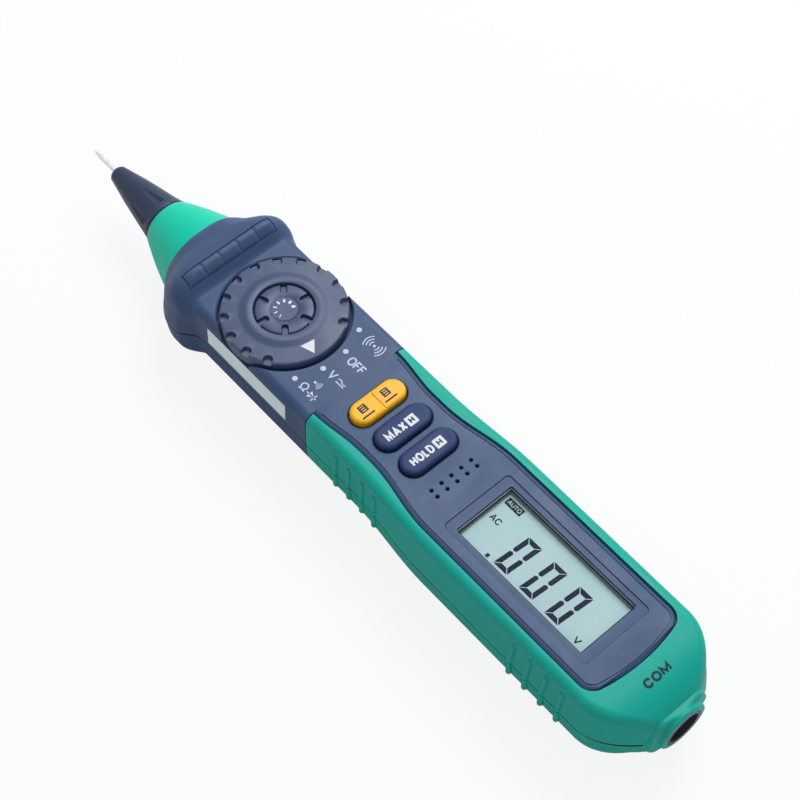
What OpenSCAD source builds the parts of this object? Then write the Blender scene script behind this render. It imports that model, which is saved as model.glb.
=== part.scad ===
// Pen multimeter: a steel probe needle at the nose, a round function dial with a
// sensitivity knob in its middle, three keys, a display and a socket at the tail.
// It lies on its back: +Y points to the needle, +Z out of the face, +X to the right.

/* [Casing sections] */
// Height of the flat face above the back
face_z = 25; // [24:0.25:26.5]
// Height of the parting line between the two casing halves
seam_z = 14.4; // [13.6:0.2:15]
// Width of the neck, from the finger guard to the keys
neck_w = 31; // [30:0.25:32]
// Width of the rear body over the soft grip
body_w = 35.2; // [34.4:0.2:37]
// Width over the finger guard
guard_w = 37.6; // [36:0.4:40]
// Height of the finger guard's ridge
guard_z = 29.3; // [28:0.1:29.6]
// Diameter of the round collar behind the nose
collar_d = 25.4; // [25:0.1:26]
// Height of the probe's axis
probe_z = 13.7; // [13.4:0.1:14]
// Wall thickness of both casing halves
wall_t = 1.7; // [1.4:0.1:1.9]
// Thickness of the soft grip
grip_t = 1.2; // [1:0.1:1.4]
// Corner radius where the face turns into the side walls
shoulder_r = 2.3; // [1.8:0.1:2.6]
// Corner radius where the side walls turn into the back
belly_r = 11; // [10.6:0.1:11.4]
// Corner radius over the finger guard
guard_r = 7.8; // [7:0.2:9.4]
// How far the finger guard's walls lean in below the shoulder
guard_lean = 1.3; // [0.8:0.1:1.6]
// How far the neck's walls lean in below the shoulder
neck_lean = 0.4; // [0.2:0.05:0.6]
// How far the rear body's walls lean in below the shoulder
body_lean = 1.1; // [0.8:0.05:1.3]
// Depth of the parting line's V groove
seam_v = 0.22; // [0.1:0.02:0.3]

/* [Places along the casing] */
// Front face of the collar
collar_y = 58.3; // [57:0.1:60]
// Ridge of the finger guard
guard_y = 48.6; // [48.2:0.1:49]
// Foot of the slope behind the guard's ridge
valley_y = 43.6; // [43:0.1:44]
// Widest place of the guard seen from above
guard_back_y = 47; // [46.5:0.1:47.4]
// Where the neck reaches its own width
neck_y = 41; // [40.6:0.1:41.4]
// Front edge of the soft grip
grip_y = 2.3; // [1:0.1:3]
// Where the neck begins to widen
waist_y = -14; // [-16:0.5:-13]
// Where the rear body reaches its full width
body_y = -40; // [-41:0.5:-38]
// Where the tail begins to round off
tail_y = -88; // [-88.5:0.1:-87.5]
// End of the casing halves at the tail
rear_y = -101.3; // [-102:0.1:-101]
// How far the soft grip closes over the casing's end
tail_cap_t = 1.4; // [1.2:0.1:1.6]
// Corner radius of the shoulder at the tail's end
tail_r = 3.6; // [3:0.2:5]
// How much the half width narrows over the tail
tail_in = 8.6; // [8:0.1:9]
// How much the face falls over the tail
tail_fall = 4.2; // [3.8:0.1:4.6]
// How much the back rises over the tail
tail_rise = 4.4; // [4:0.1:4.8]

/* [Face plate] */
// Width of the face plate at the grip's front edge
plate_front_w = 24.8; // [24:0.1:25]
// Width of the face plate at the waist
plate_waist_w = 22; // [21.4:0.1:22.4]
// Width of the face plate beside the display
plate_w = 27.1; // [26.6:0.1:27.2]
// Where the plate is narrowest, front end
plate_waist_y = -12; // [-13:0.2:-11]
// Where the plate begins to widen
plate_widen_y = -16; // [-17:0.2:-15]
// Where the plate reaches its full width
plate_full_y = -36.4; // [-37:0.2:-36]
// Rear edge of the plate at the middle
plate_end_y = -89.8; // [-90:0.1:-89.4]
// Radius of the plate's rear corners
plate_corner_r = 3.8; // [3:0.1:4.2]
// How far the rear edge bows outward
plate_bow = 1.23; // [1:0.05:1.4]
// Width of the plate's bevel
bevel_w = 0.9; // [0.6:0.05:1]
// Height of the plate's bevel
bevel_h = 0.6; // [0.4:0.05:0.8]
// Gap between the plate and the soft grip
lip_gap = 0.32; // [0.2:0.02:0.36]

/* [Guard pads] */
// Number of grooves across the guard's ridge
groove_n = 4; // [2:1:6]
// Distance between the grooves
groove_pitch = 5.3; // [4.5:0.1:5.5]
// Width of a groove
groove_w = 0.9; // [0.6:0.1:1.4]
// Depth of a groove
groove_d = 0.7; // [0.4:0.05:0.9]
// Radius of the ridge that the grooves follow
ridge_r = 7.6; // [7:0.1:8.4]

/* [Grip ribs] */
// Radius of a rib's round section
rib_r = 0.75; // [0.6:0.01:0.8]
// How deep a rib's axis lies under the grip's surface
rib_sink = 0.22; // [0.2:0.01:0.25]
// Distance between ribs at the waist
rib_pitch = 4.6; // [4:0.1:5]
// First rib at the waist
rib_waist_y = -8.2; // [-9:0.1:-7]
// Distance between ribs at the rear
rib_rear_pitch = 4.95; // [4.4:0.05:5.4]
// First rib at the rear
rib_rear_y = -68.5; // [-69:0.1:-67]
// Height of the ribs' upper ends
rib_top_z = 21.6; // [20:0.1:22]
// Height of the ribs' lower ends
rib_low_z = 9.8; // [9.6:0.1:11]

/* [Nose] */
// Place of the bright ring's front edge
ring_front_y = 73.4; // [72:0.1:74]
// Diameter of the bright ring's front edge
ring_front_d = 13.6; // [13.4:0.1:14]
// How far the bright ring swells between its ends
ring_belly = 0.3; // [0.1:0.05:0.6]
// Wall thickness of the bright ring
ring_t = 1.5; // [1.3:0.1:1.6]
// Thickness of the seal in front of the bright ring
seal_t = 0.5; // [0.3:0.05:0.7]
// Place of the nose cone's tip
cone_tip_y = 94.6; // [92:0.1:96]
// Step from the bright ring down to the nose cone
cone_step = 0.35; // [0.2:0.05:0.5]
// Diameter of the nose cone's tip
cone_tip_d = 4.4; // [4.2:0.1:4.8]
// Diameter of the nose cone's threaded stub
stub_d = 9; // [8.6:0.1:9]
// Length of the nose cone's threaded stub
stub_l = 7; // [6:0.1:7.5]
// Number of finger flutes round the nose cone
flute_n = 6; // [4:1:7]
// Radius of the cutter that leaves a flute
flute_r = 2.2; // [1.8:0.1:2.6]
// Diameter of the probe needle
needle_d = 1.2; // [1:0.05:1.4]
// Place of the needle's tip
needle_tip_y = 104; // [101:0.5:106]
// Length of the needle's point
needle_point_l = 2.6; // [2:0.1:3.2]
// Diameter of the holder that carries the needle
holder_d = 3; // [2.6:0.1:3.2]

/* [Dial] */
// Place of the dial's centre
dial_y = 27.7; // [27.4:0.1:28]
// Diameter of the dial
dial_d = 30.2; // [29.6:0.1:30.6]
// Diameter of the dial's recess
recess_d = 31.8; // [31.6:0.1:32]
// Height of the recess's floor
recess_z = 22.3; // [22:0.1:22.4]
// Height of the dial's outer ring
dial_ring_z = 26.3; // [26:0.1:26.5]
// Height of the raised middle of the dial
dial_top_z = 26.9; // [26.8:0.1:27.2]
// Outer diameter of the shoulder between ring and middle
shoulder_out_d = 21.4; // [20:0.2:22]
// Outer diameter of the raised middle
shoulder_in_d = 17.6; // [17:0.1:18]
// Number of thumb notch places round the whole rim
notch_n = 16; // [12:1:18]
// Notch places left plain beside the pointer, on each side
notch_skip = 1; // [0:1:3]
// Radius of a thumb notch
notch_r = 1.1; // [0.8:0.05:1.3]
// Distance of the notches from the dial's centre
notch_place_r = 14.1; // [13.8:0.1:14.4]
// Depth of the notches below the outer ring
notch_depth = 2; // [1.4:0.1:2.4]
// Pointer's direction at rest, turned from +X
pointer_a = -100.2; // [-110:0.2:-90]
// Turn from one place of the dial to the next
click_a = 22; // [20:0.5:24]
// Diameter of the dial's hub
hub_d = 12; // [11:0.1:12.4]
// Diameter of the snap ring seat on the hub
stub_hub_d = 9; // [8.4:0.1:9.4]
// Diameter of the contact rotor
rotor_d = 19; // [17:0.2:20]
// Thickness of the contact rotor
rotor_t = 1.5; // [1.2:0.1:1.6]

/* [Sensitivity knob] */
// Diameter of the sensitivity knob
knob_d = 14.06; // [13.6:0.02:14.2]
// Diameter of the pocket that it sits in
knob_pocket_d = 14.7; // [14.6:0.1:15]
// Height of the knob's top
knob_top_z = 26.6; // [26.4:0.1:26.8]
// Height of the pocket's floor
knob_floor_z = 24.2; // [24:0.1:24.4]
// Number of slots in the knob's rim
knob_slot_n = 6; // [4:1:8]
// Width of a slot
knob_slot_w = 1.3; // [1:0.1:1.6]
// Distance of a slot's round end from the centre
knob_slot_r = 4.9; // [4.6:0.1:5.2]
// Depth of a slot
knob_slot_depth = 1; // [0.6:0.1:1.2]
// Diameter of the knob's centre cap
knob_cap_d = 6.6; // [6:0.1:7]
// Diameter of the knob's stem
stem_d = 5; // [4.4:0.1:5.2]

/* [Keys] */
// Place of the middle key
key_y = -14; // [-14.4:0.1:-13.6]
// Distance from key to key
key_pitch = 8.6; // [8.4:0.1:8.8]
// Length of a key across the face
key_l = 15.1; // [14.4:0.1:15.4]
// Width of a key
key_w = 6.3; // [6:0.1:6.5]
// Gap round a key
key_gap = 0.35; // [0.3:0.01:0.4]
// How far a key stands out of the face
key_proud = 1.5; // [1.2:0.1:1.8]
// Radius of a key's rounded edge
key_edge_r = 0.9; // [0.6:0.05:1.1]
// Width of the flange that keeps a key in
key_flange = 0.8; // [0.6:0.05:0.9]
// Travel of the two plain keys
key_travel = 0.8; // [0.6:0.05:1]

/* [Sounder] */
// Place of the sounder holes
sounder_y = -31.2; // [-31.6:0.1:-31]
// Number of holes in a row
hole_n = 5; // [3:1:6]
// Distance between holes
hole_pitch = 2.96; // [2.4:0.02:3]
// Distance between the two rows
hole_row = 1.99; // [1.6:0.01:2.2]
// Diameter of a hole
hole_d = 0.9; // [0.7:0.05:1.1]
// Diameter of the sounder
sounder_d = 10; // [8:0.5:10]

/* [Display] */
// Place of the display's centre
display_y = -60.5; // [-61:0.1:-60]
// Length of the window opening
display_l = 39.2; // [37:0.1:40]
// Width of the window opening
display_w = 16.7; // [15:0.1:17]
// Length of the sunken frame round the window
frame_l = 44.4; // [43:0.1:45]
// Width of the sunken frame round the window
frame_w = 19.6; // [19:0.1:20]
// Depth of the sunken frame
frame_d = 0.25; // [0.15:0.05:0.4]
// Thickness of the clear window
lens_t = 1; // [0.8:0.05:1.1]
// Height of the clear window's upper side
lens_z = 23.7; // [23.6:0.05:23.9]
// Thickness of the display glass
glass_t = 1.2; // [1:0.05:1.3]

/* [Battery bay] */
// Diameter of a cell
cell_d = 10.5; // [10:0.1:10.5]
// Length of a cell without its nub
cell_l = 43.3; // [42:0.1:43.5]
// Diameter of a cell's nub
nub_d = 3.8; // [3:0.1:4.2]
// Length of a cell's nub
nub_l = 1.2; // [0.8:0.1:1.4]
// Length of a cell's contact spring
spring_l = 2.4; // [2:0.1:2.6]
// Width of the battery cover
cover_w = 22; // [21.6:0.1:22.4]
// Front edge of the battery cover
cover_front_y = -30.6; // [-31:0.1:-30]
// Rear edge of the battery cover
cover_rear_y = -86.6; // [-87:0.1:-86.4]
// Thickness of the battery cover
cover_t = 2.3; // [2.1:0.05:2.35]
// Corner radius of the battery cover
cover_r = 2.5; // [1.5:0.1:3]

/* [Tail socket] */
// Place of the socket's mouth
socket_y = -104; // [-104.4:0.1:-103.6]
// Length of the socket's shroud
socket_l = 15; // [14:0.1:15.4]
// Outer diameter of the shroud
shroud_d = 10.2; // [10:0.1:10.4]
// Inner diameter of the shroud
shroud_bore_d = 8.3; // [8:0.1:8.6]
// Outer diameter of the inner sleeve
sleeve_d = 6.5; // [6.3:0.1:6.7]
// Bore of the contact tube, for a 4 mm plug
contact_bore_d = 4; // [3.9:0.05:4.1]
// Wall thickness of the contact tube
contact_t = 0.5; // [0.4:0.05:0.6]
// Diameter of the soft boss round the socket
boss_d = 13; // [12.4:0.1:13.4]

/* [Circuit board] */
// Height of the board's underside
board_z = 14; // [13.9:0.05:14.2]
// Thickness of the board
board_t = 1.6; // [1.4:0.1:1.6]
// Front end of the board
board_front_y = 54; // [53:0.1:55]
// Rear end of the board
board_rear_y = -84; // [-84.5:0.1:-82]
// Width of the board's front tongue
board_tongue_w = 12; // [10:0.5:13]
// Width of the board in the neck
board_neck_w = 25; // [24:0.5:26]
// Width of the board at the waist
board_waist_w = 23; // [22:0.5:23.6]
// Width of the board in the body
board_body_w = 26; // [25:0.5:27]

/* [Screws] */
// Distance between the front pair of screws
screw_front_w = 18; // [17:0.2:18.4]
// Place of the front pair of screws
screw_front_y = 48; // [47.5:0.1:49]
// Distance between the rear pair of screws
screw_rear_w = 16.8; // [16.4:0.1:17.2]
// Place of the rear pair of screws
screw_rear_y = -91; // [-91.5:0.1:-90.4]
// Diameter of a screw's head
screw_head_d = 4.4; // [4:0.1:4.4]
// Thickness of a screw's head
screw_head_t = 1.6; // [1.2:0.1:1.8]
// Diameter of a screw's shank
screw_d = 2.2; // [2:0.1:2.4]
// Length of a casing screw's shank
screw_l = 14; // [12:0.5:15]

/* [Hidden] */
$fn = 48;
// Overrun of every cut
over = 1;
// Gap of a sliding or turning fit
fit = 0.06;
// Gap between pieces that are laid together
lay = 0.04;

// Casing: steps round a corner, steps round the plate's rear corners
corner_steps = 5;
inner_steps = 4;
outline_steps = 8;
// Length of the short slope where the casing steps in under the grip
step_run = 0.15;
// How far the plate's rear corners turn before the rear edge takes over
plate_corner_a = 75;
// Floor under the dial's recess
floor_t = 2.3;
collar_r = collar_d / 2;
plate_corner_y = plate_end_y + plate_bow + plate_corner_r * sin(plate_corner_a);
bevel_end_y = plate_end_y + plate_bow;
// Underside of the face where the casing runs under the grip
plate_low_z = face_z - grip_t - wall_t;
board_top_z = board_z + board_t;
socket_z = seam_z;

// Screws and their posts
post_wall = 0.7;
post_d = screw_head_d + 2 * post_wall;
top_post_d = 2 * screw_d + post_wall;
pilot_d = screw_d + 2 * fit;
screw_seat_z = 2 * screw_head_t + wall_t / 2;

// Grip: ribs and the boss round the socket
rib_n = 4;
rib_foot = 0.12;
boss_back = 0.4;
boss_edge_r = 0.8;
// Size of the grip's unbored end, as a share of the shroud that bores it
socket_share = 0.8;

// Nose
ring_l = ring_front_y - collar_y;
ring_back_r = collar_r - 5 * lay;
ring_steps = 10;
spigot_t = 1.2;
spigot_l = 3;
spigot_r = collar_r - wall_t - 10 * lay - fit;
cone_y = ring_front_y + seal_t;
cone_l = cone_tip_y - cone_y;
cone_r = ring_front_d / 2 - cone_step;
holder_front_y = cone_tip_y - 2 * cone_tip_d;
flute_depth = 0.6;
needle_in = 6;
shank_d = needle_d * 4 / 3;
shank_out = 0.2;
holder_rear_y = collar_y + 4.2 * (spigot_l / 3);
bar_w = 3;
bar_t = 0.4;
bar_rear_y = board_front_y - 3.5 * bar_w / 3;

// Dial, its rotor and its detent
dial_r = dial_d / 2;
dial_lift = 0.3;
dial_low_z = recess_z + dial_lift;
rim_r = 0.7;
hub_low_z = recess_z - floor_t - fit;
rotor_low_z = hub_low_z - rotor_t;
brush_n = 3;
brush_w = 1.4;
ball_d = 1.6;
ball_place_r = 11.4;
ball_well = 1.9;

// Sensitivity knob and its potentiometer
knob_edge_r = 0.5;
knob_low_z = knob_floor_z + fit;
cap_sink = 0.5;
pot_d = 8.8;
pot_h = 1.9;
pot_in = 1.1;
stem_low_z = board_top_z + pot_h - pot_in;

// Keys and the rubber mat under them
key_top_z = face_z + key_proud;
key_flange_z = plate_low_z - lay;
key_flange_t = 1.1;
rocker_room = 0.55;
ridge_d = 0.8;
crease_w = 0.5;
crease_d = 0.25;
mat_t = 0.8;
mat_gap = 0.25;
dome_d = 4.4;
dome_top_z = key_flange_z - key_flange_t - key_travel - mat_gap;

// Display
glass_top_z = lens_z - lens_t - lay;
glass_low_z = glass_top_z - glass_t;
holder_wall_t = 1.5;
strip_w = 1.2;

// Battery bay and its cover
cover_gap = 0.15;
cover_edge = 0.3;
cover_mid_y = (cover_front_y + cover_rear_y) / 2;
cover_screw_y = cover_front_y - post_d / 2 + lay;
cover_screw_post_h = 6.5;
cell_plate_t = 0.4;
bay_wall_t = 1.2;
bay_w = 25;
hook_t = 1;
bay_low_z = grip_t + wall_t + 3 * lay + hook_t;
bay_top_z = board_z - lay;
bay_plate_y = cover_screw_y - post_d / 2 - 2 * lay - bay_wall_t - cell_plate_t;
cell_run = cell_l + spring_l + nub_l;
bay_rear_y = bay_plate_y - cell_run;
cell_side = 0.12;
cell_x = cell_d / 2 + cell_side;
cell_z = cover_t + cover_gap + cell_d / 2;
wire_d = 0.7;
hook_w = 4;
hook_l = 1.6;
hook_z = grip_t + wall_t + 2 * lay;
thumb_n = 5;
thumb_pitch = 1.8;

// Board and what sits on it
tongue_y = neck_y + 2 * wall_t;
support_d = 3;
support_w = 15;
support_front_y = 38;
support_rear_y = -26.4;
chip_w = 12;
chip_t = 1.3;
lamp_d = 3;
lamp_l = 5;
lamp_x = 4;
sounder_h = 3;

// Tail socket
sleeve_back = 1.2;
base_t = 3;
tube_l = socket_l - 2 * sleeve_back;
tube_d = contact_bore_d + 2 * contact_t;
tab_t = 0.5;

// Label on the neck's side
label_l = 28.4;
label_y = 9.4;
label_z = 16.5;
label_h = 5.6;
label_t = 0.12;

// Shares of a run or of a size, chosen by hand
flat_shares = [0.92, 0.84, 0.72, 0.36];
nose_shares = [0, 0.08, 0.2, 0.34, 0.5, 0.66, 0.82, 1];
slope_shares = [0.12, 0.25, 0.37, 0.49, 0.61, 0.73, 0.86, 1];
waist_shares = [0.14, 0.28, 0.42, 0.56, 0.7, 0.84, 1];
tail_shares = [0, 0.26, 0.46, 0.62, 0.75, 0.86, 0.94, 1];
corner_angle_shares = [0, 0.27, 0.53, 0.8];
cap_shares = [[0.06, 0.02], [0.55, 0.1], [1, 0.26]];
cone_shares = [[0, 0.03], [0.03, 0], [0.3, -0.015], [0.6, -0.025], [0.93, 0]];

// Stations from the collar to the grip's edge, and from there to the tail
front_stations = concat(
    [for (s = nose_shares) mix(collar_y, guard_y, s)],
    [for (s = slope_shares) mix(guard_y, neck_y, s)],
    [dial_y, grip_y + 6 * wall_t, grip_y + 4 * wall_t, grip_y + step_run]
);
waist_stations = concat(
    [mix(grip_y, waist_y, 0.33), mix(grip_y, waist_y, 0.66), waist_y],
    [for (s = waist_shares) mix(waist_y, body_y, s)]
);
cover_stations = concat(
    [cover_front_y + over],
    [for (y = waist_stations) if (y < cover_front_y + over - step_run) y],
    [cover_rear_y - over]
);
tail_stations = [for (s = tail_shares) mix(tail_y, rear_y, s)];
plate_stations = [
    for (s = corner_angle_shares)
        plate_corner_y - plate_corner_r * sin(plate_corner_a * s)
];
grip_stations = concat(
    [grip_y - step_run], waist_stations, [tail_y],
    [for (y = plate_stations) if (y < tail_y - lay) y], [bevel_end_y],
    [for (y = tail_stations) if (y < plate_end_y - step_run) y]
);
rib_places = concat(
    [for (k = [0 : rib_n - 1]) rib_waist_y - k * rib_pitch],
    [for (k = [0 : rib_n - 1]) rib_rear_y - k * rib_rear_pitch]
);
board_half = [
    [board_tongue_w / 2, board_front_y], [board_tongue_w / 2, tongue_y],
    [board_neck_w / 2, tongue_y - wall_t], [board_neck_w / 2, grip_y + 3 * wall_t],
    [board_waist_w / 2, grip_y], [board_waist_w / 2, mix(waist_y, body_y, 0.4)],
    [board_body_w / 2, body_y], [board_body_w / 2, board_rear_y]
];

// Share of the way from a to b, kept between 0 and 1
function way(y, a, b) = max(0, min(1, (y - a) / (b - a)));
// The same share, smooth at both ends
function ease(y, a, b) = (1 - cos(180 * way(y, a, b))) / 2;
function mix(a, b, t) = a + (b - a) * t;

// Half width of the outer shape at the parting line
function half_w(y) =
    y > guard_y ? mix(collar_r, guard_w / 2, sin(90 * way(y, collar_y, guard_y)))
    : y > waist_y ? mix(guard_w / 2, neck_w / 2, ease(y, guard_back_y, neck_y))
    : mix(neck_w / 2, body_w / 2, ease(y, waist_y, body_y))
        - tail_in * pow(way(y, tail_y, rear_y), 2.1);

// Height of the outer shape over the middle
function top_z(y) =
    y > guard_y ? mix(probe_z + collar_r, guard_z, ease(y, collar_y, guard_y))
    : mix(guard_z, face_z, ease(y, guard_y, valley_y))
        - tail_fall * pow(way(y, tail_y, rear_y), 3.2);

// Height of the outer shape's underside
function low_z(y) =
    (probe_z - collar_r) * (1 - ease(y, collar_y, guard_y))
        + tail_rise * pow(way(y, tail_y, rear_y), 3.2);

// Corner radius above and below the parting line
function up_r(y) =
    y > guard_y ? mix(collar_r, guard_r, ease(y, collar_y, guard_y))
    : mix(guard_r, shoulder_r, ease(y, guard_y, neck_y))
        + (tail_r - shoulder_r) * way(y, tail_y, rear_y);
function low_r(y) = mix(collar_r, belly_r, ease(y, collar_y, guard_y));
function lean(y) =
    mix(0, guard_lean, ease(y, collar_y, guard_y))
        + mix(0, neck_lean - guard_lean, ease(y, guard_back_y, neck_y))
        + mix(0, body_lean - neck_lean, ease(y, waist_y, body_y));

// Half width of the face plate
function plate_half(y) =
    mix(plate_front_w, plate_waist_w, ease(y, grip_y, plate_waist_y)) / 2
        + (plate_w - plate_waist_w) / 2 * ease(y, plate_widen_y, plate_full_y)
        - (y < plate_corner_y
            ? plate_corner_r * (1 - sqrt(max(0, 1 - pow((plate_corner_y - y) / plate_corner_r, 2))))
            : 0);

// One quarter of a section, from the parting line to the middle: half width w,
// height h, corner radius r, lean l, groove v; the last points lie on the flat
function quarter(w, h, r, l, v) =
    let (
        c = min(r, h - 3 * v, (w - l) * 0.95),
        e = w - l - c
    )
    [
        [w - v, 0],
        [w - l * v / h, v],
        [w - l / 2, (h - c) / 2 + v / 2],
        for (k = [0 : corner_steps])
            [e + c * cos(90 * k / corner_steps), h - c + c * sin(90 * k / corner_steps)],
        for (s = flat_shares)
            [e * s, h]
    ];

// Whole arc from right to left out of one quarter
function arc(q, h) = concat(q, [[0, h]], [for (k = [len(q) - 1 : -1 : 0]) [-q[k][0], q[k][1]]]);

// Upper and lower arcs at a depth d under the outer shape
function up_arc(y, d) =
    let (h = top_z(y) - seam_z - d)
    arc(quarter(half_w(y) - d, h, up_r(y) - d, lean(y), seam_v), h);
function low_arc(y, d) =
    let (h = seam_z - low_z(y) - d)
    arc(quarter(half_w(y) - d, h, low_r(y) - d, lean(y) / 3, seam_v), h);

// Inner arcs of the casing halves have fewer points and no groove
function inner_arc(w, h, r) =
    let (c = min(r, h * 0.9, w * 0.9))
    [
        [w, 0],
        for (k = [0 : inner_steps])
            [w - c * (1 - cos(90 * k / inner_steps)), h - c * (1 - sin(90 * k / inner_steps))],
        [0, h],
        for (k = [inner_steps : -1 : 0])
            [c * (1 - cos(90 * k / inner_steps)) - w, h - c * (1 - sin(90 * k / inner_steps))],
        [-w, 0]
    ];

// Faces of a strip: rings of an outer arc and an inner arc, closed at both ends
function zip_to(k, n, m) = round(k * (m - 1) / (n - 1));
function strip_faces(rings, n, m) =
    let (p = n + m)
    [
        for (i = [0 : rings - 2])
            for (k = [0 : p - 1])
                for (f = [[i * p + k, i * p + (k + 1) % p, (i + 1) * p + (k + 1) % p],
                          [i * p + k, (i + 1) * p + (k + 1) % p, (i + 1) * p + k]])
                    f,
        for (e = [0, 1])
            for (k = [0 : n - 2])
                let (
                    b = e * (rings - 1) * p,
                    j = p - 1 - zip_to(k, n, m),
                    g = p - 1 - zip_to(k + 1, n, m),
                    t = [b + k, b + j, b + k + 1],
                    u = [b + k + 1, b + j, b + g]
                )
                for (f = g == j ? [t] : [t, u])
                    e == 0 ? f : [f[0], f[2], f[1]]
    ];

// Solid out of rings of [outer points, inner points], each point [x, y, height]
module strip(rings, up) {
    n = len(rings[0][0]);
    m = len(rings[0][1]);
    pts = [
        for (g = rings)
            for (q = concat(g[0], [for (k = [m - 1 : -1 : 0]) g[1][k]]))
                [q[0], q[1], seam_z + up * q[2]]
    ];
    faces = strip_faces(len(rings), n, m);
    polyhedron(pts, up < 0 ? faces : [for (f = faces) [f[0], f[2], f[1]]]);
}

function lay_at(pts, y) = [for (q = pts) [q[0], y, q[1]]];

function wall_at(y) =
    wall_t + (face_z - recess_z + floor_t - wall_t)
        * (ease(y, neck_y + 7 * wall_t, neck_y + 5 * wall_t) - ease(y, grip_y + 6 * wall_t, grip_y + 4 * wall_t));

// Ring of the upper casing in front of the grip
function up_front(y) =
    [lay_at(up_arc(y, 0), y),
     lay_at(inner_arc(half_w(y) - wall_t, top_z(y) - seam_z - wall_at(y), max(up_r(y) - wall_t, wall_t / 2)), y)];

// Ring of the upper casing under the grip: the last points of a quarter stand
// up as the face plate, and the ring bows rearward near the plate's end
function plate_quarter(y, b, z_top, z_edge) =
    let (
        q = quarter(half_w(y) - grip_t, top_z(y) - seam_z - grip_t, up_r(y) - grip_t, lean(y), seam_v),
        p = plate_half(y),
        n = len(q) - len(flat_shares)
    )
    concat(
        [for (k = [0 : n - 1]) [q[k][0], y, q[k][1]]],
        [
            [p, y, q[n][1]],
            [p, y, min(z_edge, z_top) - seam_z],
            [p - bevel_w, y - b * (1 - pow((p - bevel_w) / p, 2)), z_top - seam_z],
            [p / 2, y - b * 3 / 4, z_top - seam_z]
        ]
    );
function mirror_ring(q, y, b, z) =
    concat(q, [[0, y - b, z - seam_z]], [for (k = [len(q) - 1 : -1 : 0]) [-q[k][0], q[k][1], q[k][2]]]);
function up_under(y) =
    [mirror_ring(plate_quarter(y, plate_bow_at(y), face_z, face_z - bevel_h), y, plate_bow_at(y), face_z),
     lay_at(inner_arc(half_w(y) - grip_t - wall_t, top_z(y) - seam_z - grip_t - wall_t, shoulder_r), y)];
function plate_bow_at(y) = (plate_bow - bevel_w / 2) * way(y, plate_corner_y, plate_end_y + plate_bow);

// Ring of the upper casing behind the plate
function up_tail(y) =
    [lay_at(up_arc(y, grip_t), y),
     lay_at(inner_arc(half_w(y) - grip_t - wall_t, top_z(y) - seam_z - grip_t - wall_t, up_r(y)), y)];

under_edge_z = face_z - grip_t - lay;
module upper_shell() {
    strip(concat(
        [for (y = front_stations) up_front(y)],
        [for (y = concat([grip_y], waist_stations, plate_stations)) up_under(y)],
        [[mirror_ring(plate_quarter(bevel_end_y, plate_bow, face_z - bevel_h, face_z - bevel_h - bevel_h),
                      bevel_end_y, plate_bow, face_z - bevel_h),
          up_under(bevel_end_y)[1]],
         [mirror_ring(plate_quarter(bevel_end_y - step_run, plate_bow, under_edge_z, under_edge_z + lay / 2),
                      bevel_end_y - step_run, plate_bow, under_edge_z),
          up_under(bevel_end_y - step_run)[1]]],
        [for (y = tail_stations) if (y < plate_end_y - step_run) up_tail(y)]
    ), 1);
}

module lower_shell() {
    strip(concat(
        [for (y = front_stations)
            [lay_at(low_arc(y, 0), y),
             lay_at(inner_arc(half_w(y) - wall_t, seam_z - low_z(y) - wall_t, low_r(y) - wall_t), y)]],
        [for (y = concat([grip_y], waist_stations, tail_stations))
            [lay_at(low_arc(y, grip_t), y),
             lay_at(inner_arc(half_w(y) - grip_t - wall_t, seam_z - low_z(y) - grip_t - wall_t, low_r(y) - grip_t - wall_t), y)]]
    ), -1);
}

// Rings of a grip: parallel to the casing, then closed over its end
function cap_ring(a, s) =
    let (y = rear_y - tail_cap_t * s[0], k = 1 - s[1])
    [for (q = a) [q[0] * k, y, q[1] * k]];
module grip_shell(up) {
    inset = grip_t - 2 * lay;
    end_arc = up > 0 ? up_arc(rear_y, 0) : low_arc(rear_y, 0);
    bore_w = socket_share * shroud_d / 2;
    strip(concat(
        [for (y = grip_stations)
            up > 0 ? [lay_at(up_arc(y, 0), y), lay_at(up_arc(y, inset), y)]
            : [lay_at(low_arc(y, 0), y), lay_at(low_arc(y, inset), y)]],
        [for (s = cap_shares)
            [cap_ring(end_arc, s),
             lay_at(arc(quarter(bore_w, bore_w, bore_w, 0, seam_v / 2), bore_w), rear_y - tail_cap_t * s[0])]]
    ), up);
}

// Outline of the face plate's rear, grown by g
function plate_side(g) = [
    for (y = concat([grip_y + over], [grip_y], waist_stations, [plate_corner_y]))
        [plate_half(y) + g, y]
];
function plate_corner(g) = [
    for (k = [1 : outline_steps])
        [plate_w / 2 - plate_corner_r + (plate_corner_r + g) * cos(plate_corner_a * k / outline_steps),
         plate_corner_y - (plate_corner_r + g) * sin(plate_corner_a * k / outline_steps)]
];
function plate_rear(g) =
    let (
        r = plate_corner_r + g,
        x = plate_w / 2 - plate_corner_r + r * cos(plate_corner_a),
        y = plate_corner_y - r * sin(plate_corner_a)
    )
    [for (k = [1 : outline_steps]) [x * (1 - k / outline_steps), y - plate_bow * (1 - pow(1 - k / outline_steps, 2))]];
module plate_outline(g) {
    right = concat(plate_side(g), plate_corner(g), plate_rear(g));
    polygon(concat(right, [for (k = [len(right) - 2 : -1 : 0]) [-right[k][0], right[k][1]]]));
}

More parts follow.
